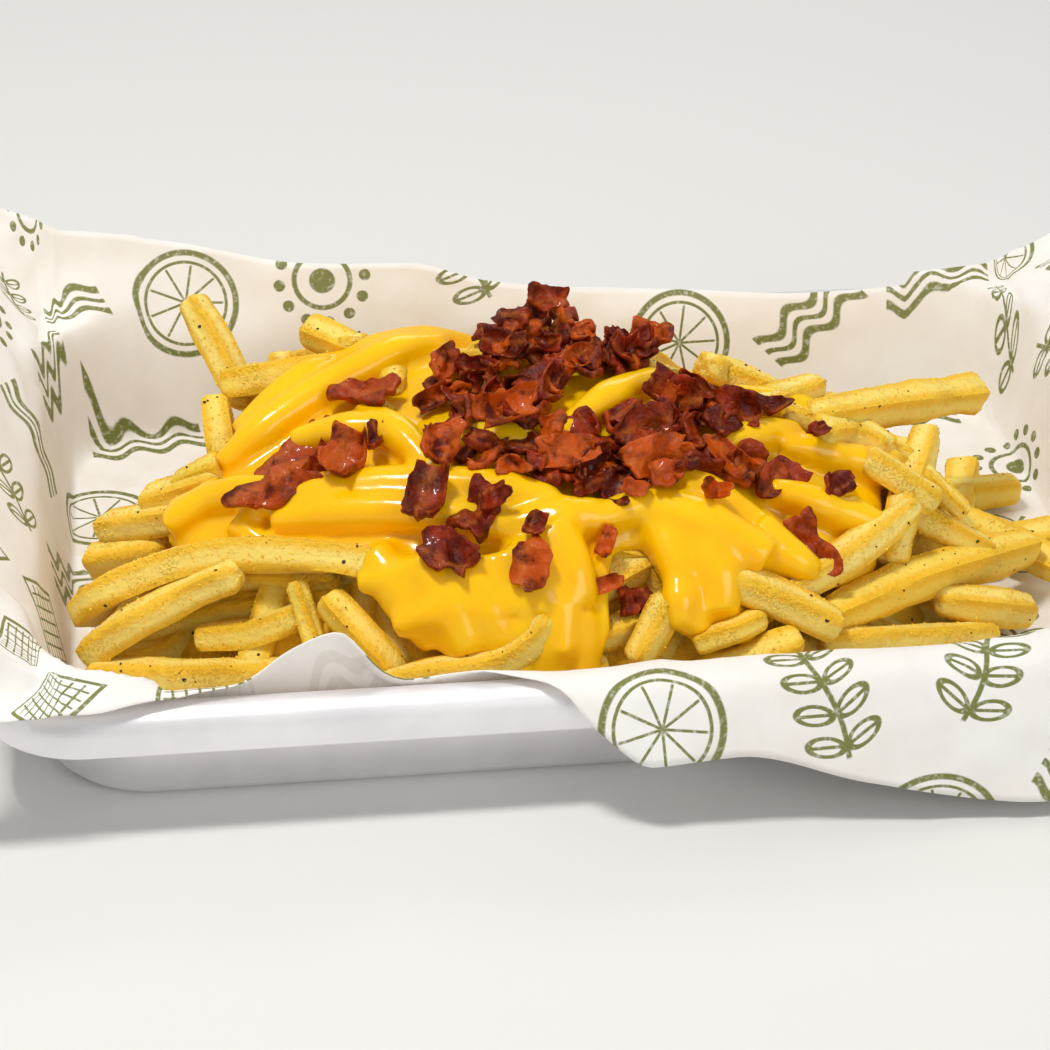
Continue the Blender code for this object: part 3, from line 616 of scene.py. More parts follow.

# %% [markdown]
# ## The fries
# A thin-cut fry is a square stick of potato that bends and blisters as it fries. Each is a ring
# of points with soft corners, carried along a smooth curve, a little uneven in width, with cut
# ends. The ones that the front shows have their own curves. The rest are laid over the heap by
# rule, and a core in deep gold closes the gaps between them: painted shade for the hollows.

# %% The fries that show, as curves from tip to tip
SHOWN_FRIES = [
    [(-77, 29, 53), (-73, 22, 47), (-68, 12, 39)],
    [(-71, 10, 44), (-51, 6, 48)],
    [(-74, 5, 42), (-73, -5, 34)],
    [(-54, 16, 52), (-45, 10, 50)],
    [(-82, -9, 32), (-75, -11, 36)],
    [(-88, -7, 27), (-75, -13, 34)],
    [(-97, -4, 20), (-79, -17, 29), (-57, -26, 36)],
    [(-100, -7, 14), (-86, -14, 20)],
    [(-107, -25, 13), (-97, -29, 20), (-85, -30, 25.5), (-72, -34, 29.5), (-55, -41, 32), (-46, -45, 32)],
    [(-105, -34, 9), (-94, -36, 16), (-83, -36, 22), (-73, -39, 28)],
    [(-92, -26, 9), (-72, -32, 16), (-54, -40, 22)],
    [(-90, -23, 17), (-70, -31, 23.5), (-54, -38, 26)],
    [(-104, -38, 6.6), (-82, -44, 9), (-61, -49, 11)],
    [(-79, -38, 14), (-70, -41, 16), (-62, -43, 20)],
    [(-61, -42, 26), (-58, -50, 17)],
    [(-55, -46, 25), (-49, -52, 20), (-44, -55, 14)],
    [(-58, -52, 9), (-40, -58, 12)],
    [(-47, -59, 13), (-38, -61, 17), (-26, -62, 19), (-19, -61, 23), (-16, -60, 27)],
    [(-21, -61, 13), (-5, -61, 16)],
    [(-5, -50, 27), (7, -44, 30)],
    [(-5, -56, 20), (8, -53, 23)],
    [(2, -62, 19), (8, -57, 27)],
    [(14, -61, 21), (20, -61, 23), (25, -59, 24)],
    [(21, -54, 30), (30, -56, 26), (40, -58, 21)],
    [(14, -62, 15), (24, -62, 17), (32, -61, 20)],
    [(33, -51, 25), (45, -46, 29), (60, -36, 33)],
    [(70, -9, 34), (61, -29, 31), (55, -40, 25)],
    [(41, -53, 20), (60, -42, 20), (90, -20, 13)],
    [(63, -28, 27), (78, -28, 18)],
    [(66, -24, 33), (73, -27, 27)],
    [(44, -18, 44), (64, -2, 38), (86, 13, 32)],
    [(39, -17, 45), (63, -16, 34)],
    [(54, -25, 38), (66, -30, 31)],
    [(33, -16, 47), (46, -8, 46)],
    [(26, -3, 49), (37, -9, 46)],
    [(40, -57, 16), (56, -53, 13), (75, -46, 8)],
    [(66, -42, 15), (85, -40, 10)],
    [(28, -55, 13), (56, -52, 9)],
    [(-88, 6, 8), (-66, 20, 12)],
    [(-84, -4, 9), (-72, 22, 8)],
    [(-76, 26, 8), (-56, 30, 17)],
    [(-74, 6, 17), (-62, 30, 12)],
    [(-68, 0, 28), (-58, 24, 24)],
    [(-80, 12, 7), (-60, 36, 8)],
    [(-66, 14, 20), (-46, 38, 12)],
    [(-62, 8, 33), (-50, 34, 21)],
    [(-56, 17, 31), (-66, 34, 13)],
    [(-78, 18, 10), (-50, 24, 20)],
    [(-58, 20, 27), (-42, 36, 22)],
]
print(len(SHOWN_FRIES), "fries have curves of their own")


# %% Fries that fill the back and the gaps
HALF_LENGTHS = (13, 27)


def inside_liner(path):
    """The path, moved in where it would run through the paper."""
    kept = []
    for x, y, z in path:
        room = WALL_OUT * max(z - PAPER_FLOOR - FRY * 0.7, 0.0)
        limit_x, limit_y = PAPER_HALF_X + room - FRY * 0.75, PAPER_HALF_Y + room - FRY * 0.75
        kept.append((min(max(x, -limit_x), limit_x), min(max(y, -limit_y), limit_y),
                     max(z, FOOD_FLOOR + FRY * 0.58)))
    return kept


def laid_fries(rng, count, lowest, highest, sink):
    """Fries strewn over the core, each lying along the slope at its own angle."""
    paths = []
    for index in range(count):
        turn = index * GOLDEN_TURN + rng.uniform(-0.2, 0.2)
        level = math.sqrt(rng.uniform(lowest, highest))
        depth = CORE_HALF_Y if math.sin(turn) < 0 else CORE_BACK
        x, y = HEAP_X + CORE_HALF_X * level * math.cos(turn), HEAP_Y + depth * level * math.sin(turn)
        lie, half = rng.uniform(0, math.pi), rng.uniform(*HALF_LENGTHS)
        bend = rng.uniform(-2.5, 2.5)
        path = []
        for step in (-1.0, -0.35, 0.35, 1.0):
            px = x + step * half * math.cos(lie) - bend * step * step * math.sin(lie)
            py = y + step * half * math.sin(lie) + bend * step * step * math.cos(lie)
            rest = core_z(px, py) if core_z(px, py) > CORE_FOOT + 0.5 else FOOD_FLOOR
            path.append((px, py, rest + FRY * 0.5 + sink))
        middle = 0.5 * (path[1][2] + path[2][2])
        # a stick is stiff: its ends leave the slope rather than bend with it
        stiff = [(px, py, 0.45 * pz + 0.55 * (middle + (path[3][2] - path[0][2]) * share))
                 for (px, py, pz), share in zip(path, (-0.5, -0.18, 0.18, 0.5))]
        paths.append(stiff)
    return paths


# %% One fry
FRY_SECTION = 16
FRY_STEP = 2.4
FRY_LAYERS = ("tone", "tip", "corner")
# a cut end: how far each ring stands out past the path, and its size
FRY_END = ((1.5, 0.45), (1.3, 0.78), (0.7, 0.95))
SQUARENESS = 6


def section_reach(angle, half):
    """How far a square with soft corners reaches at an angle."""
    c, s = math.cos(angle), math.sin(angle)
    return half / (abs(c) ** SQUARENESS + abs(s) ** SQUARENESS) ** (1 / SQUARENESS)


def cut_end(tip, inner):
    outward = (tip - inner).normalized()
    return [(tip + outward * reach, size) for reach, size in FRY_END]


def add_fry(bm, path, rng):
    """One fry along the path, with its own thickness, twist, taper and blisters."""
    length = sum((Vector(b) - Vector(a)).length for a, b in zip(path, path[1:]))
    steps = max(2, round(length / FRY_STEP / (len(path) - 1)))
    curve = through(path, steps)
    half = 0.5 * FRY * rng.uniform(0.88, 1.06)
    roll, twist = rng.uniform(-0.35, 0.35), rng.uniform(-0.6, 0.6)
    flat = rng.uniform(0.82, 1.0)
    # some ends are cut square and some taper to a thin tip
    tapers = [(rng.uniform(4, 15), rng.choice((0.12, 0.2, 0.45))) for _ in range(2)]
    seed = rng.uniform(0, 900)
    stations = (cut_end(curve[0], curve[1]) + [(point, 1.0) for point in curve]
                + cut_end(curve[-1], curve[-2])[::-1])
    rings = []
    for index, (point, size) in enumerate(stations):
        before, after = stations[max(index - 1, 0)][0], stations[min(index + 1, len(stations) - 1)][0]
        ahead = (after - before).normalized()
        side = ahead.cross(Vector((0, 0, 1))).normalized()
        up = side.cross(ahead)
        share = index / (len(stations) - 1)
        turn = roll + twist * share
        swell = 1 + 0.14 * wander(seed, share * length / 9, 0)
        for (reach_in, cut), away in zip(tapers, (share, 1 - share)):
            swell *= 1 - cut * (1 - smooth_step(0.0, reach_in, away * length))
        ring = []
        for corner in range(FRY_SECTION):
            angle = 2 * math.pi * corner / FRY_SECTION
            c, s = math.cos(angle), math.sin(angle)
            blister = 0.3 * wander(seed + 3 * c, 3 * s, share * length / 3.5)
            dent = 0.45 * wander(seed + c, s, share * length / 8 + 40)
            reach = section_reach(angle, half * size * swell) + blister + dent
            wide, high = c * reach, s * reach * flat
            ring.append(point + side * (wide * math.cos(turn) - high * math.sin(turn))
                        + up * (wide * math.sin(turn) + high * math.cos(turn)))
        rings.append(ring)
    part, (tone_layer, tip_layer, corner_layer) = new_part(*FRY_LAYERS)
    made = loft(part, rings)
    tone, tip = rng.random(), rng.uniform(0.0, 1.0)
    for index, loop in enumerate(made):
        share = index / (len(made) - 1)
        for corner, vert in enumerate(loop):
            vert[tone_layer] = tone
            vert[tip_layer] = smooth_step(0.88, 1.0, abs(2 * share - 1)) * tip
            # the corners of the cut fry brown first
            vert[corner_layer] = math.sin(4 * math.pi * corner / FRY_SECTION) ** 2
    add_part(bm, part)


# %% The potato's skin
potato = Finish("fried_potato", roughness=0.46, Subsurface_Weight=0.22, Subsurface_Scale=0.004,
                Subsurface_Radius=(1.0, 0.55, 0.12), Specular_IOR_Level=0.34)
where = potato.place()
tone, tip, corner = potato.attribute("tone"), potato.attribute("tip"), potato.attribute("corner")
cloud, grain = potato.noise(where, 140, 4.0), potato.noise(where, 850, 4.0, 0.65)
skin = potato.mix(tone * 0.6 + cloud * 0.4, tint(249, 226, 130), tint(245, 208, 70))
# the thin corners of the cut fry take up more colour than its pale faces
skin = potato.mix((corner * 0.75 + grain * 0.5).smooth(0.42, 0.85) * 0.85, skin, tint(242, 188, 14))
browned = (tip * 0.9 + potato.noise(where, 70, 5.0).smooth(0.68, 0.82) * 0.6) * grain.smooth(0.35, 0.6)
skin = potato.mix(browned.maths("MINIMUM", 0.8), skin, tint(190, 112, 20))
# seasoning lies in drifts, and cracked pepper is strewn over everything
dust = potato.noise(where, 2600, 2.0).smooth(0.56, 0.64) * potato.noise(where, 110, 3.0).smooth(0.5, 0.68)
skin = potato.mix(dust * 0.7, skin, tint(236, 182, 8))
flakes = potato.node("ShaderNodeTexVoronoi", None, {"Vector": where, "Scale": 420.0, "Randomness": 1.0})
cell_colour = Signal(potato, flakes.socket.node.outputs["Color"])
chosen = potato.node("ShaderNodeSeparateColor", None, {0: cell_colour})
ragged_flake = flakes + (grain - 0.5) * 0.25
pepper = ragged_flake.smooth(0.2, 0.15) * chosen.smooth(0.965, 0.975)
skin = potato.mix(pepper, skin, tint(62, 40, 14))
potato.set("Base Color", skin)
potato.set("Roughness", 0.4 + grain * 0.3)
potato.bump(grain * 0.7 + cloud * 0.6 + dust * 0.9 + corner * grain * 0.9 + pepper * 0.8, 0.0006, 0.85)
potato.describe()

# %% Lay all the fries
rng = random.Random(SEED)
bm, layers = new_part(*FRY_LAYERS)
# two layers over the whole heap, the second higher and away from the middle
fill = laid_fries(rng, 96, 0.0, 1.0, -0.8) + laid_fries(rng, 60, 0.25, 1.0, 4.4)


def behind_ridge(path):
    x, y = (sum(point[axis] for point in path) / len(path) for axis in range(2))
    return y > RIDGE_Y + RIDGE_SLANT * x + 6


def bare_corner(x, y):
    """The paper shows past the heap in the left corner: 0 in the heap, 1 in that corner."""
    return smooth_step(62, 80, -x) * smooth_step(-22, -6, y)


def keeps_corner_bare(path):
    return not any(bare_corner(x, y) > 0.5 and z > 15 for x, y, z in path)


fill = [path for path in fill if keeps_corner_bare(path)]
behind = [path for path in fill if behind_ridge(path)]
# in front the shown fries have the say, so the fill there is drawn in and sinks under them
low = [[(0.93 * x, 0.9 * y, z - 7.0) for x, y, z in path] for path in fill if not behind_ridge(path)]
for path in SHOWN_FRIES + behind + low:
    add_fry(bm, inside_liner(path), rng)
print(len(SHOWN_FRIES), "shown fries,", len(behind), "behind and", len(low), "low in front")


# %% The core under the fries
CORE_SECTORS = 72


def core_reach(angle):
    depth = CORE_HALF_Y if math.sin(angle) < 0 else CORE_BACK
    return 0.97 / math.hypot(math.cos(angle) / CORE_HALF_X, math.sin(angle) / depth)


def core_height(x, y):
    """The core stays under the fries, and sinks where the paper's corner is bare."""
    return max((core_z(x, y) - 3.5) * (1 - 0.9 * bare_corner(x - 12, y)), FOOD_FLOOR + 0.6)


core_top = rings_round((HEAP_X, HEAP_Y), core_reach, (0.03, 0.2, 0.4, 0.6, 0.75, 0.87, 0.95, 1.0),
                       core_height, CORE_SECTORS)
core_foot = rings_round((HEAP_X, HEAP_Y), core_reach, (0.985, 0.03), lambda x, y: FOOD_FLOOR, CORE_SECTORS)
core, (tone_layer, tip_layer, corner_layer) = new_part(*FRY_LAYERS)
loft(core, core_top + core_foot)
# the core takes the fries' saturated corner colour all over: painted shade, the deep gold of the hollows
# between the fries
for vert in core.verts:
    vert[tone_layer], vert[tip_layer], vert[corner_layer] = 1.0, 0.1, 1.0
add_part(bm, core)
bmesh.ops.recalc_face_normals(bm, faces=bm.faces)
fries = piece("fries_heap", bm, [potato], ["fries"], 60)
report(fries)

# %% [markdown]
# ## The cheese sauce
# Warm cheese sauce was poured over the middle. It coats the top fries, pools between them and
# hangs down the front in thick drips. Each part starts simply: a blanket over the heap, round
# bars where a coated fry shows, and tapering strings for the drips. A voxel remesh melts them
# into one skin, and smoothing gives the soft fillets of a thick liquid.

# %% The sauce's outline, coated fries and drips
SAUCE_X, SAUCE_Y = -8.0, -14.0
SAUCE_OUTLINE = [(-86, -17), (-75, -12), (-70, -5), (-57, 7), (-46, 12), (-30, 17), (-10, 19), (8, 11),
                 (20, -3), (34, -11), (50, -12), (57, -19), (56, -33), (52, -43), (37, -50), (27, -57),
                 (19, -57), (13, -62), (5, -47), (-1.5, -48), (-4, -62), (-16, -66), (-23, -58), (-29, -61),
                 (-37, -58), (-44, -51), (-50, -44), (-58, -39), (-70, -32)]
COATED = [((-27, 11), (-74, -12)), ((-46, -11), (-33, -33)), ((-69, -26), (-11, -41)),
          ((-84, -16), (-58, -28)), ((-50, -48), (-22, -52)), ((-44, -56), (-29, -56)),
          ((3, -42), (32, -50)), ((31, -36), (51, -38)), ((36, -25), (55, -24)), ((28, -13), (52, -15)),
          ((13, -10), (-9, -27)), ((-22, -45), (1, -44)), ((-12, -53), (-13, -64)), ((10, -54), (10, -61)),
          ((-20, 16), (-52, 5)), ((2, 10), (-18, -4)), ((-60, -14), (-38, -20)), ((-6, -46), (14, -40)),
          ((20, -30), (40, -20)), ((-30, -24), (-8, -32)),
          ((-65, -31), (-18, -46)), ((8, -36), (28, -43))]
COAT_HALF, COAT_SINK = 4.0, 1.4
FLOOD_DEPTH = 3.6
SAUCE_SECTORS = 120
VOXEL = 0.85


def outline_reach(points, centre):
    """Turns an outline into a rule: how far it lies from the centre at an angle."""
    turn = 2 * math.pi
    polar = sorted((math.atan2(y - centre[1], x - centre[0]) % turn,
                    math.hypot(x - centre[0], y - centre[1])) for x, y in points)
    (first, first_reach), (last, last_reach) = polar[0], polar[-1]
    wrapped = [(last - turn, last_reach)] + polar + [(first + turn, first_reach)]
    return lambda angle: along(wrapped, angle % turn)


def flooded(x, y):
    """The level of the sauce between the coated fries."""
    return heap_z(x, y) - FLOOD_DEPTH + 0.9 * wander(x / 13, y / 11, 2.2) + 0.4 * wander(x / 5, y / 5, 7)


# %% Bars and drips
def add_string(bm, path, radii, sides=10):
    """A round string along a path whose radius changes from point to point."""
    curve = through(path, 5)
    rings = []
    for index, point in enumerate(curve):
        before, after = curve[max(index - 1, 0)], curve[min(index + 1, len(curve) - 1)]
        ahead = (after - before).normalized()
        helper = Vector((0, 0, 1)) if abs(ahead.z) < 0.9 else Vector((0, 1, 0))
        side = ahead.cross(helper).normalized()
        up = side.cross(ahead)
        share = index / (len(curve) - 1) * (len(radii) - 1)
        low = min(int(share), len(radii) - 2)
        radius = radii[low] + (radii[low + 1] - radii[low]) * (share - low)
        rings.append([point + (side * math.cos(a) + up * math.sin(a)) * radius
                      for a in (2 * math.pi * k / sides for k in range(sides))])
    part = bmesh.new()
    loft(part, rings)
    add_part(bm, part)


# drips down the front: points from the top, and the string's radius along them
DRIPS = [
    ([(-22, -50, 36), (-21, -57, 29), (-20, -60, 22), (-21, -63, 16)], (4.5, 4.0, 3.4, 3.8)),
    ([(-17, -48, 37), (-16, -56, 31), (-15, -60, 23), (-15, -62, 15)], (5.5, 5.0, 4.4, 4.2)),
    ([(-13, -47, 39), (-10, -54, 34), (-9, -59, 25), (-9, -62, 17)], (5.0, 4.4, 3.6, 3.8)),
    ([(-10, -62, 17), (-7, -63, 13.5), (-3, -63, 12.5)], (4.0, 4.2, 3.0)),
    ([(-16, -62, 17), (-12, -63, 13), (-8, -63, 11.5)], (3.4, 4.6, 3.6)),
    ([(-47, -43, 34), (-41, -50, 28), (-35, -56, 21)], (4.0, 5.6, 4.2)),
    ([(-38, -47, 34), (-33, -54, 27), (-30, -59, 20)], (5.5, 6.2, 4.4)),
    ([(-29, -50, 34), (-26, -56, 27), (-24, -60, 21)], (5.5, 5.4, 3.4)),
    ([(3, -41, 41), (15, -46, 38.5), (28, -52, 33)], (4.4, 5.4, 4.2)),
    ([(8, -44, 38), (10, -52, 33), (12, -57, 27), (13, -60, 22)], (4.5, 3.8, 3.0, 3.2)),
    ([(14, -46, 36), (18, -53, 31), (18, -58, 25)], (5.6, 5.4, 3.8)),
    ([(27, -45, 36), (34, -50, 31), (38, -50, 28)], (4.0, 3.6, 2.8)),
    ([(46, -36, 34), (52, -38, 31), (56, -37, 29)], (3.8, 3.4, 2.8)),
    ([(50, -24, 38), (56, -24, 36), (60, -23, 34.5)], (3.8, 3.6, 3.2)),
    ([(-74, -18, 35), (-80, -19, 31.5), (-85, -19, 28)], (3.6, 3.4, 3.0)),
    ([(-72, -27, 33), (-66, -33, 30), (-60, -38, 29)], (3.0, 2.8, 2.4)),
    ([(-42, 11, 47), (-54, 5, 48.5), (-63, -1, 45), (-70, -6, 41)], (2.6, 3.4, 3.2, 2.6)),
    ([(18, -56, 25), (23, -58, 20), (27, -59, 17)], (2.6, 2.8, 2.4)),
]
print(len(COATED), "coated fries and", len(DRIPS), "drips")

# %% The cheese's skin
cheese = Finish("melted_cheese", roughness=0.16, Subsurface_Weight=0.35, Subsurface_Scale=0.006,
                Subsurface_Radius=(1.0, 0.5, 0.05), Specular_IOR_Level=0.32, Coat_Roughness=0.06)
where = cheese.place()
swirl, dapple = cheese.noise(where, 75, 3.0), cheese.noise(where, 320, 4.0)
sauce_tint = cheese.mix(swirl.smooth(0.3, 0.7), tint(255, 188, 3), tint(255, 198, 8))
cheese.set("Base Color", cheese.mix(dapple.smooth(0.62, 0.8) * 0.3, sauce_tint, tint(244, 168, 0)))
cheese.set("Roughness", 0.12 + dapple * 0.12)
cheese.set("Coat Weight", 0.12)
cheese.bump(dapple * 0.5 + cheese.noise(where, 900, 2.0) * 0.2, 0.00012, 0.6)
cheese.describe()

# %% Pour the sauce
reach = outline_reach(SAUCE_OUTLINE, (SAUCE_X, SAUCE_Y))
bm = bmesh.new()
# the blanket's rings run out over its top, round its edge and back in below
blanket = []
for fractions, depth in (([0.03 + 0.97 * step / 19 for step in range(19)] + [0.985], 0.0),
                         ([1.0], 1.4),
                         ([0.985 - 0.95 * step / 14 for step in range(15)], 3.2)):
    blanket += rings_round((SAUCE_X, SAUCE_Y), reach, fractions,
                           lambda x, y: flooded(x, y) - depth, SAUCE_SECTORS)
loft(bm, blanket)
for (x0, y0), (x1, y1) in COATED:
    span = math.hypot(x1 - x0, y1 - y0)
    count = max(3, round(span / 9))
    path = []
    for step in range(count):
        share = step / (count - 1)
        x, y = x0 + (x1 - x0) * share, y0 + (y1 - y0) * share
        path.append((x, y, heap_z(x, y) - COAT_SINK + 0.5 * math.sin(math.pi * share)))
    add_string(bm, path, [COAT_HALF * 0.62] + [COAT_HALF] * (count - 2) + [COAT_HALF * 0.62])
for path, radii in DRIPS:
    add_string(bm, path, radii)
bmesh.ops.recalc_face_normals(bm, faces=bm.faces)
bmesh.ops.triangulate(bm, faces=bm.faces)
sauce = piece("cheese_coat", bm, [cheese], ["cheese_sauce"])


# %% Melt it into one skin
def bake_modifiers(thing):
    graph = bpy.context.evaluated_depsgraph_get()
    mesh = bpy.data.meshes.new_from_object(thing.evaluated_get(graph))
    thing.modifiers.clear()
    thing.data = mesh


melt = sauce.modifiers.new("melt", "REMESH")
melt.mode = "VOXEL"
melt.voxel_size = VOXEL * MM
melt.use_smooth_shade = True
bake_modifiers(sauce)
bm = bmesh.new()
bm.from_mesh(sauce.data)
for _ in range(7):
    soften(bm, bm.verts, 0.5)
bm.to_mesh(sauce.data)
bm.free()
report(sauce)


# %% Feel for the food's surface
def surface_of(thing):
    bm = bmesh.new()
    bm.from_mesh(thing.data)
    made = BVHTree.FromBMesh(bm)
    bm.free()
    return made


fry_surface, sauce_surface = surface_of(fries), surface_of(sauce)


def top_at(x, y):
    """The height of the food under a point of the plan, averaged over a small patch."""
    heights = []
    for dx, dy in ((0, 0), (1.8, 0), (-1.8, 0), (0, 1.8), (0, -1.8)):
        down = (Vector((x + dx, y + dy, 90)) * MM, Vector((0, 0, -1)))
        hits = [surface.ray_cast(*down)[0] for surface in (fry_surface, sauce_surface)]
        heights.append(max((hit.z / MM for hit in hits if hit), default=heap_z(x, y)))
    return sum(heights) / len(heights)


print("the sauce is", round(top_at(0, -40), 1), "mm high in front of the bacon")

# %% [markdown]
# ## The bacon
# Fried bacon is chopped into ragged chips. Each is a thin sheet that shrank and crumpled, with
# a streak of fat along it. A grid is warped to an uneven outline, crumpled by noise, and given
# its thickness; the streak is stored on the points so that it follows the chip.

# %% One chip
CHIP = 1.7
CHIP_LAYERS = ("streak", "tone", "rim")


def add_chip(bm, place, length, width, curl, rng, cells=(16, 11)):
    """One chip of bacon, moved to its place by a matrix."""
    part, (streak_layer, tone_layer, rim_layer) = new_part(*CHIP_LAYERS)
    grid = bmesh.ops.create_grid(part, x_segments=cells[0], y_segments=cells[1], size=0.5)["verts"]
    seed, tone = rng.uniform(0, 500), rng.random()
    bend = rng.choice((0.5, 1.3, 2.1, 3.0, -1.2)) * rng.uniform(0.8, 1.2)
    streak_at, streak_width = rng.uniform(-0.35, 0.35), rng.uniform(0.05, 0.13)
    taper = rng.uniform(0.0, 0.4)
    for vert in grid:
        u, v = vert.co.x, vert.co.y
        rim = max(abs(u), abs(v)) * 2
        # the corners are drawn in, then the outline wanders, and the chip rolls up across its width
        across, over = u * math.sqrt(1 - 1.1 * v * v), v * math.sqrt(1 - 1.1 * u * u)
        ragged = (1 + 0.45 * rim * wander(u * 2.1 + seed, v * 2.1, 1)
                  + 0.14 * rim * wander(u * 7 + seed, v * 7, 2))
        x, y = across * length * ragged, over * width * (1 - taper * abs(u)) * ragged
        turn = y * bend / width
        radius = width / bend
        fold = curl * (4 * u * u - 0.35) + radius * (1 - math.cos(turn))
        y = radius * math.sin(turn)
        fold += 2.8 * wander(x / 5.2 + seed, y / 5.2, 3)
        crumple = 1.3 * wander(x / 2.4 + seed, y / 2.4, 5)
        off_streak = v - streak_at - 0.12 * wander(u * 3 + seed, 0, 8)
        vert[streak_layer] = math.exp(-(off_streak / streak_width) ** 2)
        vert[tone_layer] = tone
        vert[rim_layer] = rim ** 2
        vert.co = (x, y, fold + crumple)
    bmesh.ops.solidify(part, geom=part.faces, thickness=-CHIP * rng.uniform(0.75, 1.1))
    bmesh.ops.recalc_face_normals(part, faces=part.faces)
    for vert in part.verts:
        vert.co += vert.normal * 0.3 * noise(vert.co / 1.3 + Vector((seed, 0, 0)))
    soften(part, part.verts, 0.4)
    bmesh.ops.transform(part, matrix=place, verts=part.verts)
    add_part(bm, part)


def on_slope(x, y, z, turn, lean):
    """The matrix that lays a chip along the heap's slope, turned and leant by degrees."""
    step = 2.0
    normal = Vector((-(heap_z(x + step, y) - heap_z(x - step, y)) / (2 * step),
                     -(heap_z(x, y + step) - heap_z(x, y - step)) / (2 * step), 1.0)).normalized()
    slope = Vector((0, 0, 1)).rotation_difference(normal).to_matrix().to_4x4()
    return (Matrix.Translation((x, y, z)) @ slope @ Matrix.Rotation(math.radians(turn), 4, "Z")
            @ Matrix.Rotation(math.radians(lean), 4, "X"))


# %% The bacon's skin
bacon = Finish("crisp_bacon", roughness=0.34, Subsurface_Weight=0.12, Subsurface_Scale=0.0025,
               Subsurface_Radius=(1.0, 0.25, 0.05), Coat_Roughness=0.08, Specular_IOR_Level=0.18)
where = bacon.place()
streak, chip_tone = bacon.attribute("streak"), bacon.attribute("tone")
meat, fibre = bacon.noise(where, 190, 4.0), bacon.noise(where, 700, 4.0)
rim = bacon.attribute("rim")
lean_meat = bacon.mix(meat.smooth(0.35, 0.65), tint(86, 15, 2), tint(148, 40, 4))
lean_meat = bacon.mix(chip_tone.smooth(0.55, 0.9) * meat.smooth(0.35, 0.5), lean_meat, tint(190, 78, 8))
lean_meat = bacon.mix(chip_tone.smooth(0.25, 0.1) * 0.75, lean_meat, tint(62, 12, 5))
# painted light: the chips' edges turn a lighter orange, standing for light that shines through the thin
# bacon
lean_meat = bacon.mix(rim * fibre.smooth(0.45, 0.65) * 0.35, lean_meat, tint(190, 88, 12))
lean_meat = bacon.mix(bacon.noise(where, 110, 3.0).smooth(0.5, 0.66) * 0.7, lean_meat, tint(56, 11, 3))
fat = streak * fibre.smooth(0.3, 0.55)
bacon.set("Base Color", bacon.mix(fat * 0.5, lean_meat, tint(196, 104, 34)))
bacon.set("Roughness", 0.24 + fibre * 0.3)
bacon.set("Coat Weight", meat.smooth(0.45, 0.65) * 0.3)
bacon.bump(meat * 0.8 + fibre * 0.7, 0.0009, 0.95)
bacon.describe()

# %% The loose chips, each on its own solid
# plan place, turn, length, width and curl
LOOSE_BACON = {
    "bacon_triangle_left": (-45, -9, -35, 13, 10, 1.2),
    "bacon_strip_left": (-59, -19, 38, 19, 8, 2.0),
    "bacon_curl_left": (-50, -29, 60, 11, 10, 4.0),
    "bacon_flat_left": (-64, -29, 12, 17, 9, 1.0),
    "bacon_square_dark": (-36, -42, 70, 12, 10, 1.2),
    "bacon_orange_front": (-27, -45, 55, 12, 8, 1.0),
    "bacon_diamond": (-33, -52, -35, 11, 9, 1.0),
    "bacon_rectangle": (-18, -57, 70, 10, 8, 0.8),
    "bacon_small_front": (-3, -49, 65, 6, 4, 0.6),
    "bacon_right_curl": (37, -46, -60, 13, 8, 2.5),
    "bacon_right_small": (44, -36, 15, 6, 5, 1.5),
    "bacon_chip_upper": (-44, -23, 80, 6, 4, 0.6),
}
rng = random.Random(SEED + 2)
for name, (x, y, turn, length, width, curl) in LOOSE_BACON.items():
    bm, layers = new_part(*CHIP_LAYERS)
    place = on_slope(x, y, top_at(x, y) + 1.3, turn, rng.uniform(-14, 14))
    add_chip(bm, place, length, width, curl, rng, (18, 12))
    chip = piece("chip_" + name, bm, [bacon], [name])
    report(chip)

# %% The pile in the middle
PILE_X, PILE_Y = 0.0, -18.0
PILE_OUTLINE = [(-34, -6), (-24, 2), (-12, 9), (-2, 8), (6, 3), (12, -4), (19, -14), (30, -23), (31, -29),
                (22, -38), (9, -45), (-6, -41), (-16, -37), (-27, -36), (-31, -22)]
# chips that the front shows: plan place, height over the heap, turn, lean, length, width
PILE_CHIPS = [(-8, 4, 4, 20, 66, 14, 8), (-30, -8, 4, 75, 60, 16, 8), (-17, -5, 2, -20, 36, 14, 10),
              (-23, -9, 3, 10, 30, 12, 9), (-20, -29, 2, 15, 24, 20, 14), (-33, -33, 2, 70, 30, 13, 11),
              (-9, -34, 2, 5, 30, 16, 11), (-12, -17, 3, 40, 32, 16, 12), (-3, -9, 3, 30, 40, 13, 9),
              (8, -6, 2, 30, 30, 13, 11), (13, -2, 3, -20, 40, 12, 10), (20, -17, 3, -50, 45, 12, 8),
              (15, -19, 3, -30, 32, 16, 12), (7, -28, 3, 20, 34, 17, 12), (8, -39, 2, 10, 26, 20, 15),
              (27, -23, 2, -15, 30, 16, 11), (24, -33, 2, -48, 28, 19, 10), (34, -19, 1, 15, 12, 9, 6),
              (-17, -51, 1, 65, 15, 8, 6), (-24, -44, 1, 20, 15, 9, 7), (42, -26, 1, 35, 14, 8, 6),
              (18, -45, 1, -10, 18, 9, 6), (-2, 0, 3, 50, 50, 11, 7), (-14, 1, 3, -35, 42, 11, 8)]
CRUMBS = 150
CHIP_SCALE = 0.68
pile_reach = outline_reach(PILE_OUTLINE, (PILE_X, PILE_Y))
rng = random.Random(SEED + 3)
bm, layers = new_part(*CHIP_LAYERS)
for x, y, rise, turn, lean, length, width in PILE_CHIPS:
    lifted = top_at(x, y) + 1.2 + rise * 0.8 + 0.2 * width * math.sin(math.radians(lean))
    add_chip(bm, on_slope(x, y, lifted, turn, lean), CHIP_SCALE * length, CHIP_SCALE * width,
             rng.uniform(0.8, 3.0), rng)
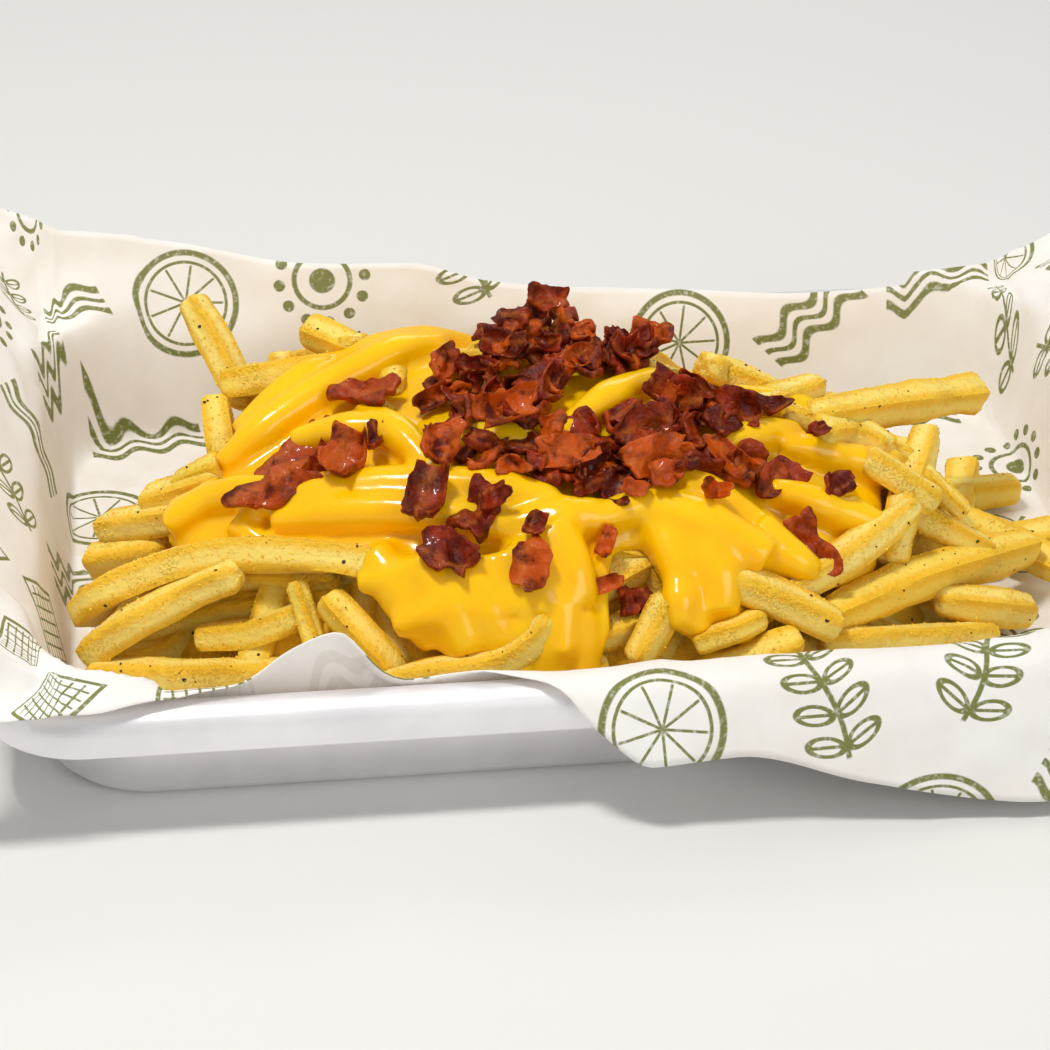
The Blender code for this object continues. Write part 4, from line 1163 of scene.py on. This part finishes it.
# bare patches where the sauce shows between the chips: plan place and radius
BARE = [(-8, -25, 4.5), (-2, -21, 6.0), (4, -17, 6.5), (10, -13, 6.0), (15, -10, 5.0), (-21, 0, 4.0),
        (14, -46, 6.0), (22, -42, 7.0), (-10, -44, 6.0), (27, -30, 4.0)]
for index in range(CRUMBS):
    angle, share = index * GOLDEN_TURN, 0.98 * math.sqrt((index + 0.5) / CRUMBS)
    x = PILE_X + share * pile_reach(angle) * math.cos(angle)
    y = PILE_Y + share * pile_reach(angle) * math.sin(angle)
    if any(math.hypot(x - bx, y - by) < size for bx, by, size in BARE):
        continue
    lifted = top_at(x, y) + 1.0 + 2.6 * (1 - share) + rng.uniform(0, 1.4)
    place = on_slope(x, y, lifted, rng.uniform(0, 360), rng.uniform(-60, 60))
    add_chip(bm, place, rng.uniform(4.5, 9.5), rng.uniform(3.5, 7), rng.uniform(0.3, 2.2), rng, (12, 9))
# a few bits that rolled off the pile: plan place, turn, lean, length
STRAY_BITS = [(-4, -54, 20, 20, 6), (0, -53, 75, 30, 7), (4, -55, 130, 10, 5), (27, -31, 20, 20, 9),
              (31, -35, 60, 15, 8), (36, -31, -40, 20, 7), (47, -30, 25, 10, 5), (-54, -21, 50, 10, 6)]
for x, y, turn, lean, length in STRAY_BITS:
    place = on_slope(x, y, top_at(x, y) + 0.9, turn, lean)
    add_chip(bm, place, length, length * 0.72, 0.8, rng, (10, 8))
pile = piece("bacon_heap", bm, [bacon], ["bacon_pile"])
report(pile)

# %% [markdown]
# ## Seasoning and pepper
# Coarse seasoning and cracked pepper sit on the fries as real grains. Thousands of tiny crumbs
# are thrown at the heap from all round. A ray finds where each one lands, and it sinks in by
# half; the ones that would land on the sauce are left away.

# %% Throw the grains
def strew(count, seed, size, finish, name):
    rng = random.Random(seed)
    bm = bmesh.new()
    landed = 0
    for _ in range(count):
        # most fall at a slant, so that they stick to the sides of the fries as well
        aim = Vector((rng.uniform(-106, 92), rng.uniform(-64, 46), 20))
        lean, around = rng.uniform(0, 1.1), rng.uniform(0, 6.28)
        fall = Vector((math.sin(lean) * math.cos(around), math.sin(lean) * math.sin(around),
                       -math.cos(lean)))
        thrown = ((aim - fall * 120) * MM, fall)
        hit, _, _, far = fry_surface.ray_cast(*thrown)
        sauce_far = sauce_surface.ray_cast(*thrown)[3]
        if hit is None or hit.z < 5 * MM or (sauce_far and sauce_far < far):
            continue
        part = bmesh.new()
        bmesh.ops.create_icosphere(part, subdivisions=1, radius=rng.uniform(*size))
        squash = Matrix.Diagonal((rng.uniform(0.6, 1.3), rng.uniform(0.6, 1.3), rng.uniform(0.4, 0.9), 1))
        angle, axis = rng.uniform(0, math.pi), Vector((rng.random(), rng.random(), 1)).normalized()
        place = Matrix.Translation(hit / MM) @ Matrix.Rotation(angle, 4, axis) @ squash
        bmesh.ops.transform(part, matrix=place, verts=part.verts)
        add_part(bm, part)
        landed += 1
    piece(name, bm, [finish])
    print(name, landed, "grains")


def grain_finish(name, roughness, scale, first, second):
    finish = Finish(name, roughness=roughness)
    where = finish.place()
    finish.set("Base Color", finish.mix(finish.noise(where, scale, 2.0).smooth(0.4, 0.6), first, second))
    finish.bump(finish.noise(where, 3000, 2.0), 0.00008, 0.6)
    return finish


spice = grain_finish("seasoning", 0.6, 500, tint(250, 212, 60), tint(240, 180, 16))
pepper_skin = grain_finish("cracked_pepper", 0.7, 700, tint(38, 26, 12), tint(96, 62, 26))
strew(16000, SEED + 5, (0.14, 0.34), spice, "seasoning_grains")
strew(420, SEED + 6, (0.16, 0.42), pepper_skin, "pepper_grains")

# %% [markdown]
# ## Floor, light and camera
# On a pale floor, one small key light gives the food its shadows and gloss, and two large soft
# lights fill them. The camera has the photograph's angle: a long lens from the front left,
# thirty degrees up.

# %% The floor
floor_finish = Finish("pale_floor", roughness=0.7)
floor_finish.set("Base Color", tint(226, 224, 221))
bm = bmesh.new()
bmesh.ops.create_grid(bm, x_segments=1, y_segments=1, size=3.0)
mesh = bpy.data.meshes.new("floor")
bm.to_mesh(mesh)
bm.free()
mesh.materials.append(floor_finish.material)
floor = bpy.data.objects.new("floor", mesh)
bpy.context.scene.collection.objects.link(floor)


# %% The lights
def soft_light(name, place, aim, size, power, warmth=(1.0, 1.0, 1.0)):
    lamp = bpy.data.lights.new(name, "AREA")
    lamp.shape, lamp.size, lamp.size_y = "RECTANGLE", size[0], size[1]
    lamp.energy, lamp.color = power, warmth
    made = bpy.data.objects.new(name, lamp)
    made.location = place
    made.rotation_euler = (Vector(aim) - Vector(place)).to_track_quat("-Z", "Y").to_euler()
    bpy.context.scene.collection.objects.link(made)


soft_light("key", (-0.3, -0.12, 0.95), (0, 0, 0.02), (0.15, 0.13), 6.2, (1.0, 0.985, 0.96))
soft_light("fill", (0.55, -0.9, 0.5), (0, 0, 0.02), (0.7, 0.5), 3.2)
soft_light("back_light", (0.25, 0.75, 0.7), (0, 0, 0.03), (0.6, 0.3), 1.4)
world = bpy.data.worlds.new("studio")
bpy.context.scene.world = world
world.use_nodes = True
background = world.node_tree.nodes["Background"]
background.inputs["Color"].default_value = (1.0, 1.0, 1.0, 1.0)
background.inputs["Strength"].default_value = 0.42
bpy.context.scene.view_settings.view_transform = "Standard"

# %% The camera
CAMERA_TARGET = Vector((-11.408, 0.0, 12.939)) * MM
CAMERA_DISTANCE, CAMERA_LENS = 0.6, 99.1
ELEVATION, AZIMUTH, ROLL = math.radians(29.925), math.radians(-8.17), math.radians(1.039)
back_off = Vector((math.sin(AZIMUTH) * math.cos(ELEVATION), -math.cos(AZIMUTH) * math.cos(ELEVATION),
                   math.sin(ELEVATION)))
right = Vector((math.cos(AZIMUTH), math.sin(AZIMUTH), 0.0))
up = back_off.cross(right)
rolled_right = right * math.cos(ROLL) + up * math.sin(ROLL)
rolled_up = up * math.cos(ROLL) - right * math.sin(ROLL)
camera_data = bpy.data.cameras.new("camera")
camera_data.lens, camera_data.sensor_width = CAMERA_LENS, 36.0
camera_data.clip_start = 0.01
camera = bpy.data.objects.new("camera", camera_data)
camera.matrix_world = (Matrix.Translation(CAMERA_TARGET + back_off * CAMERA_DISTANCE)
                       @ Matrix((rolled_right, rolled_up, back_off)).transposed().to_4x4())
bpy.context.scene.collection.objects.link(camera)
bpy.context.scene.camera = camera
print("camera at", [round(c / MM, 1) for c in camera.location], "mm")
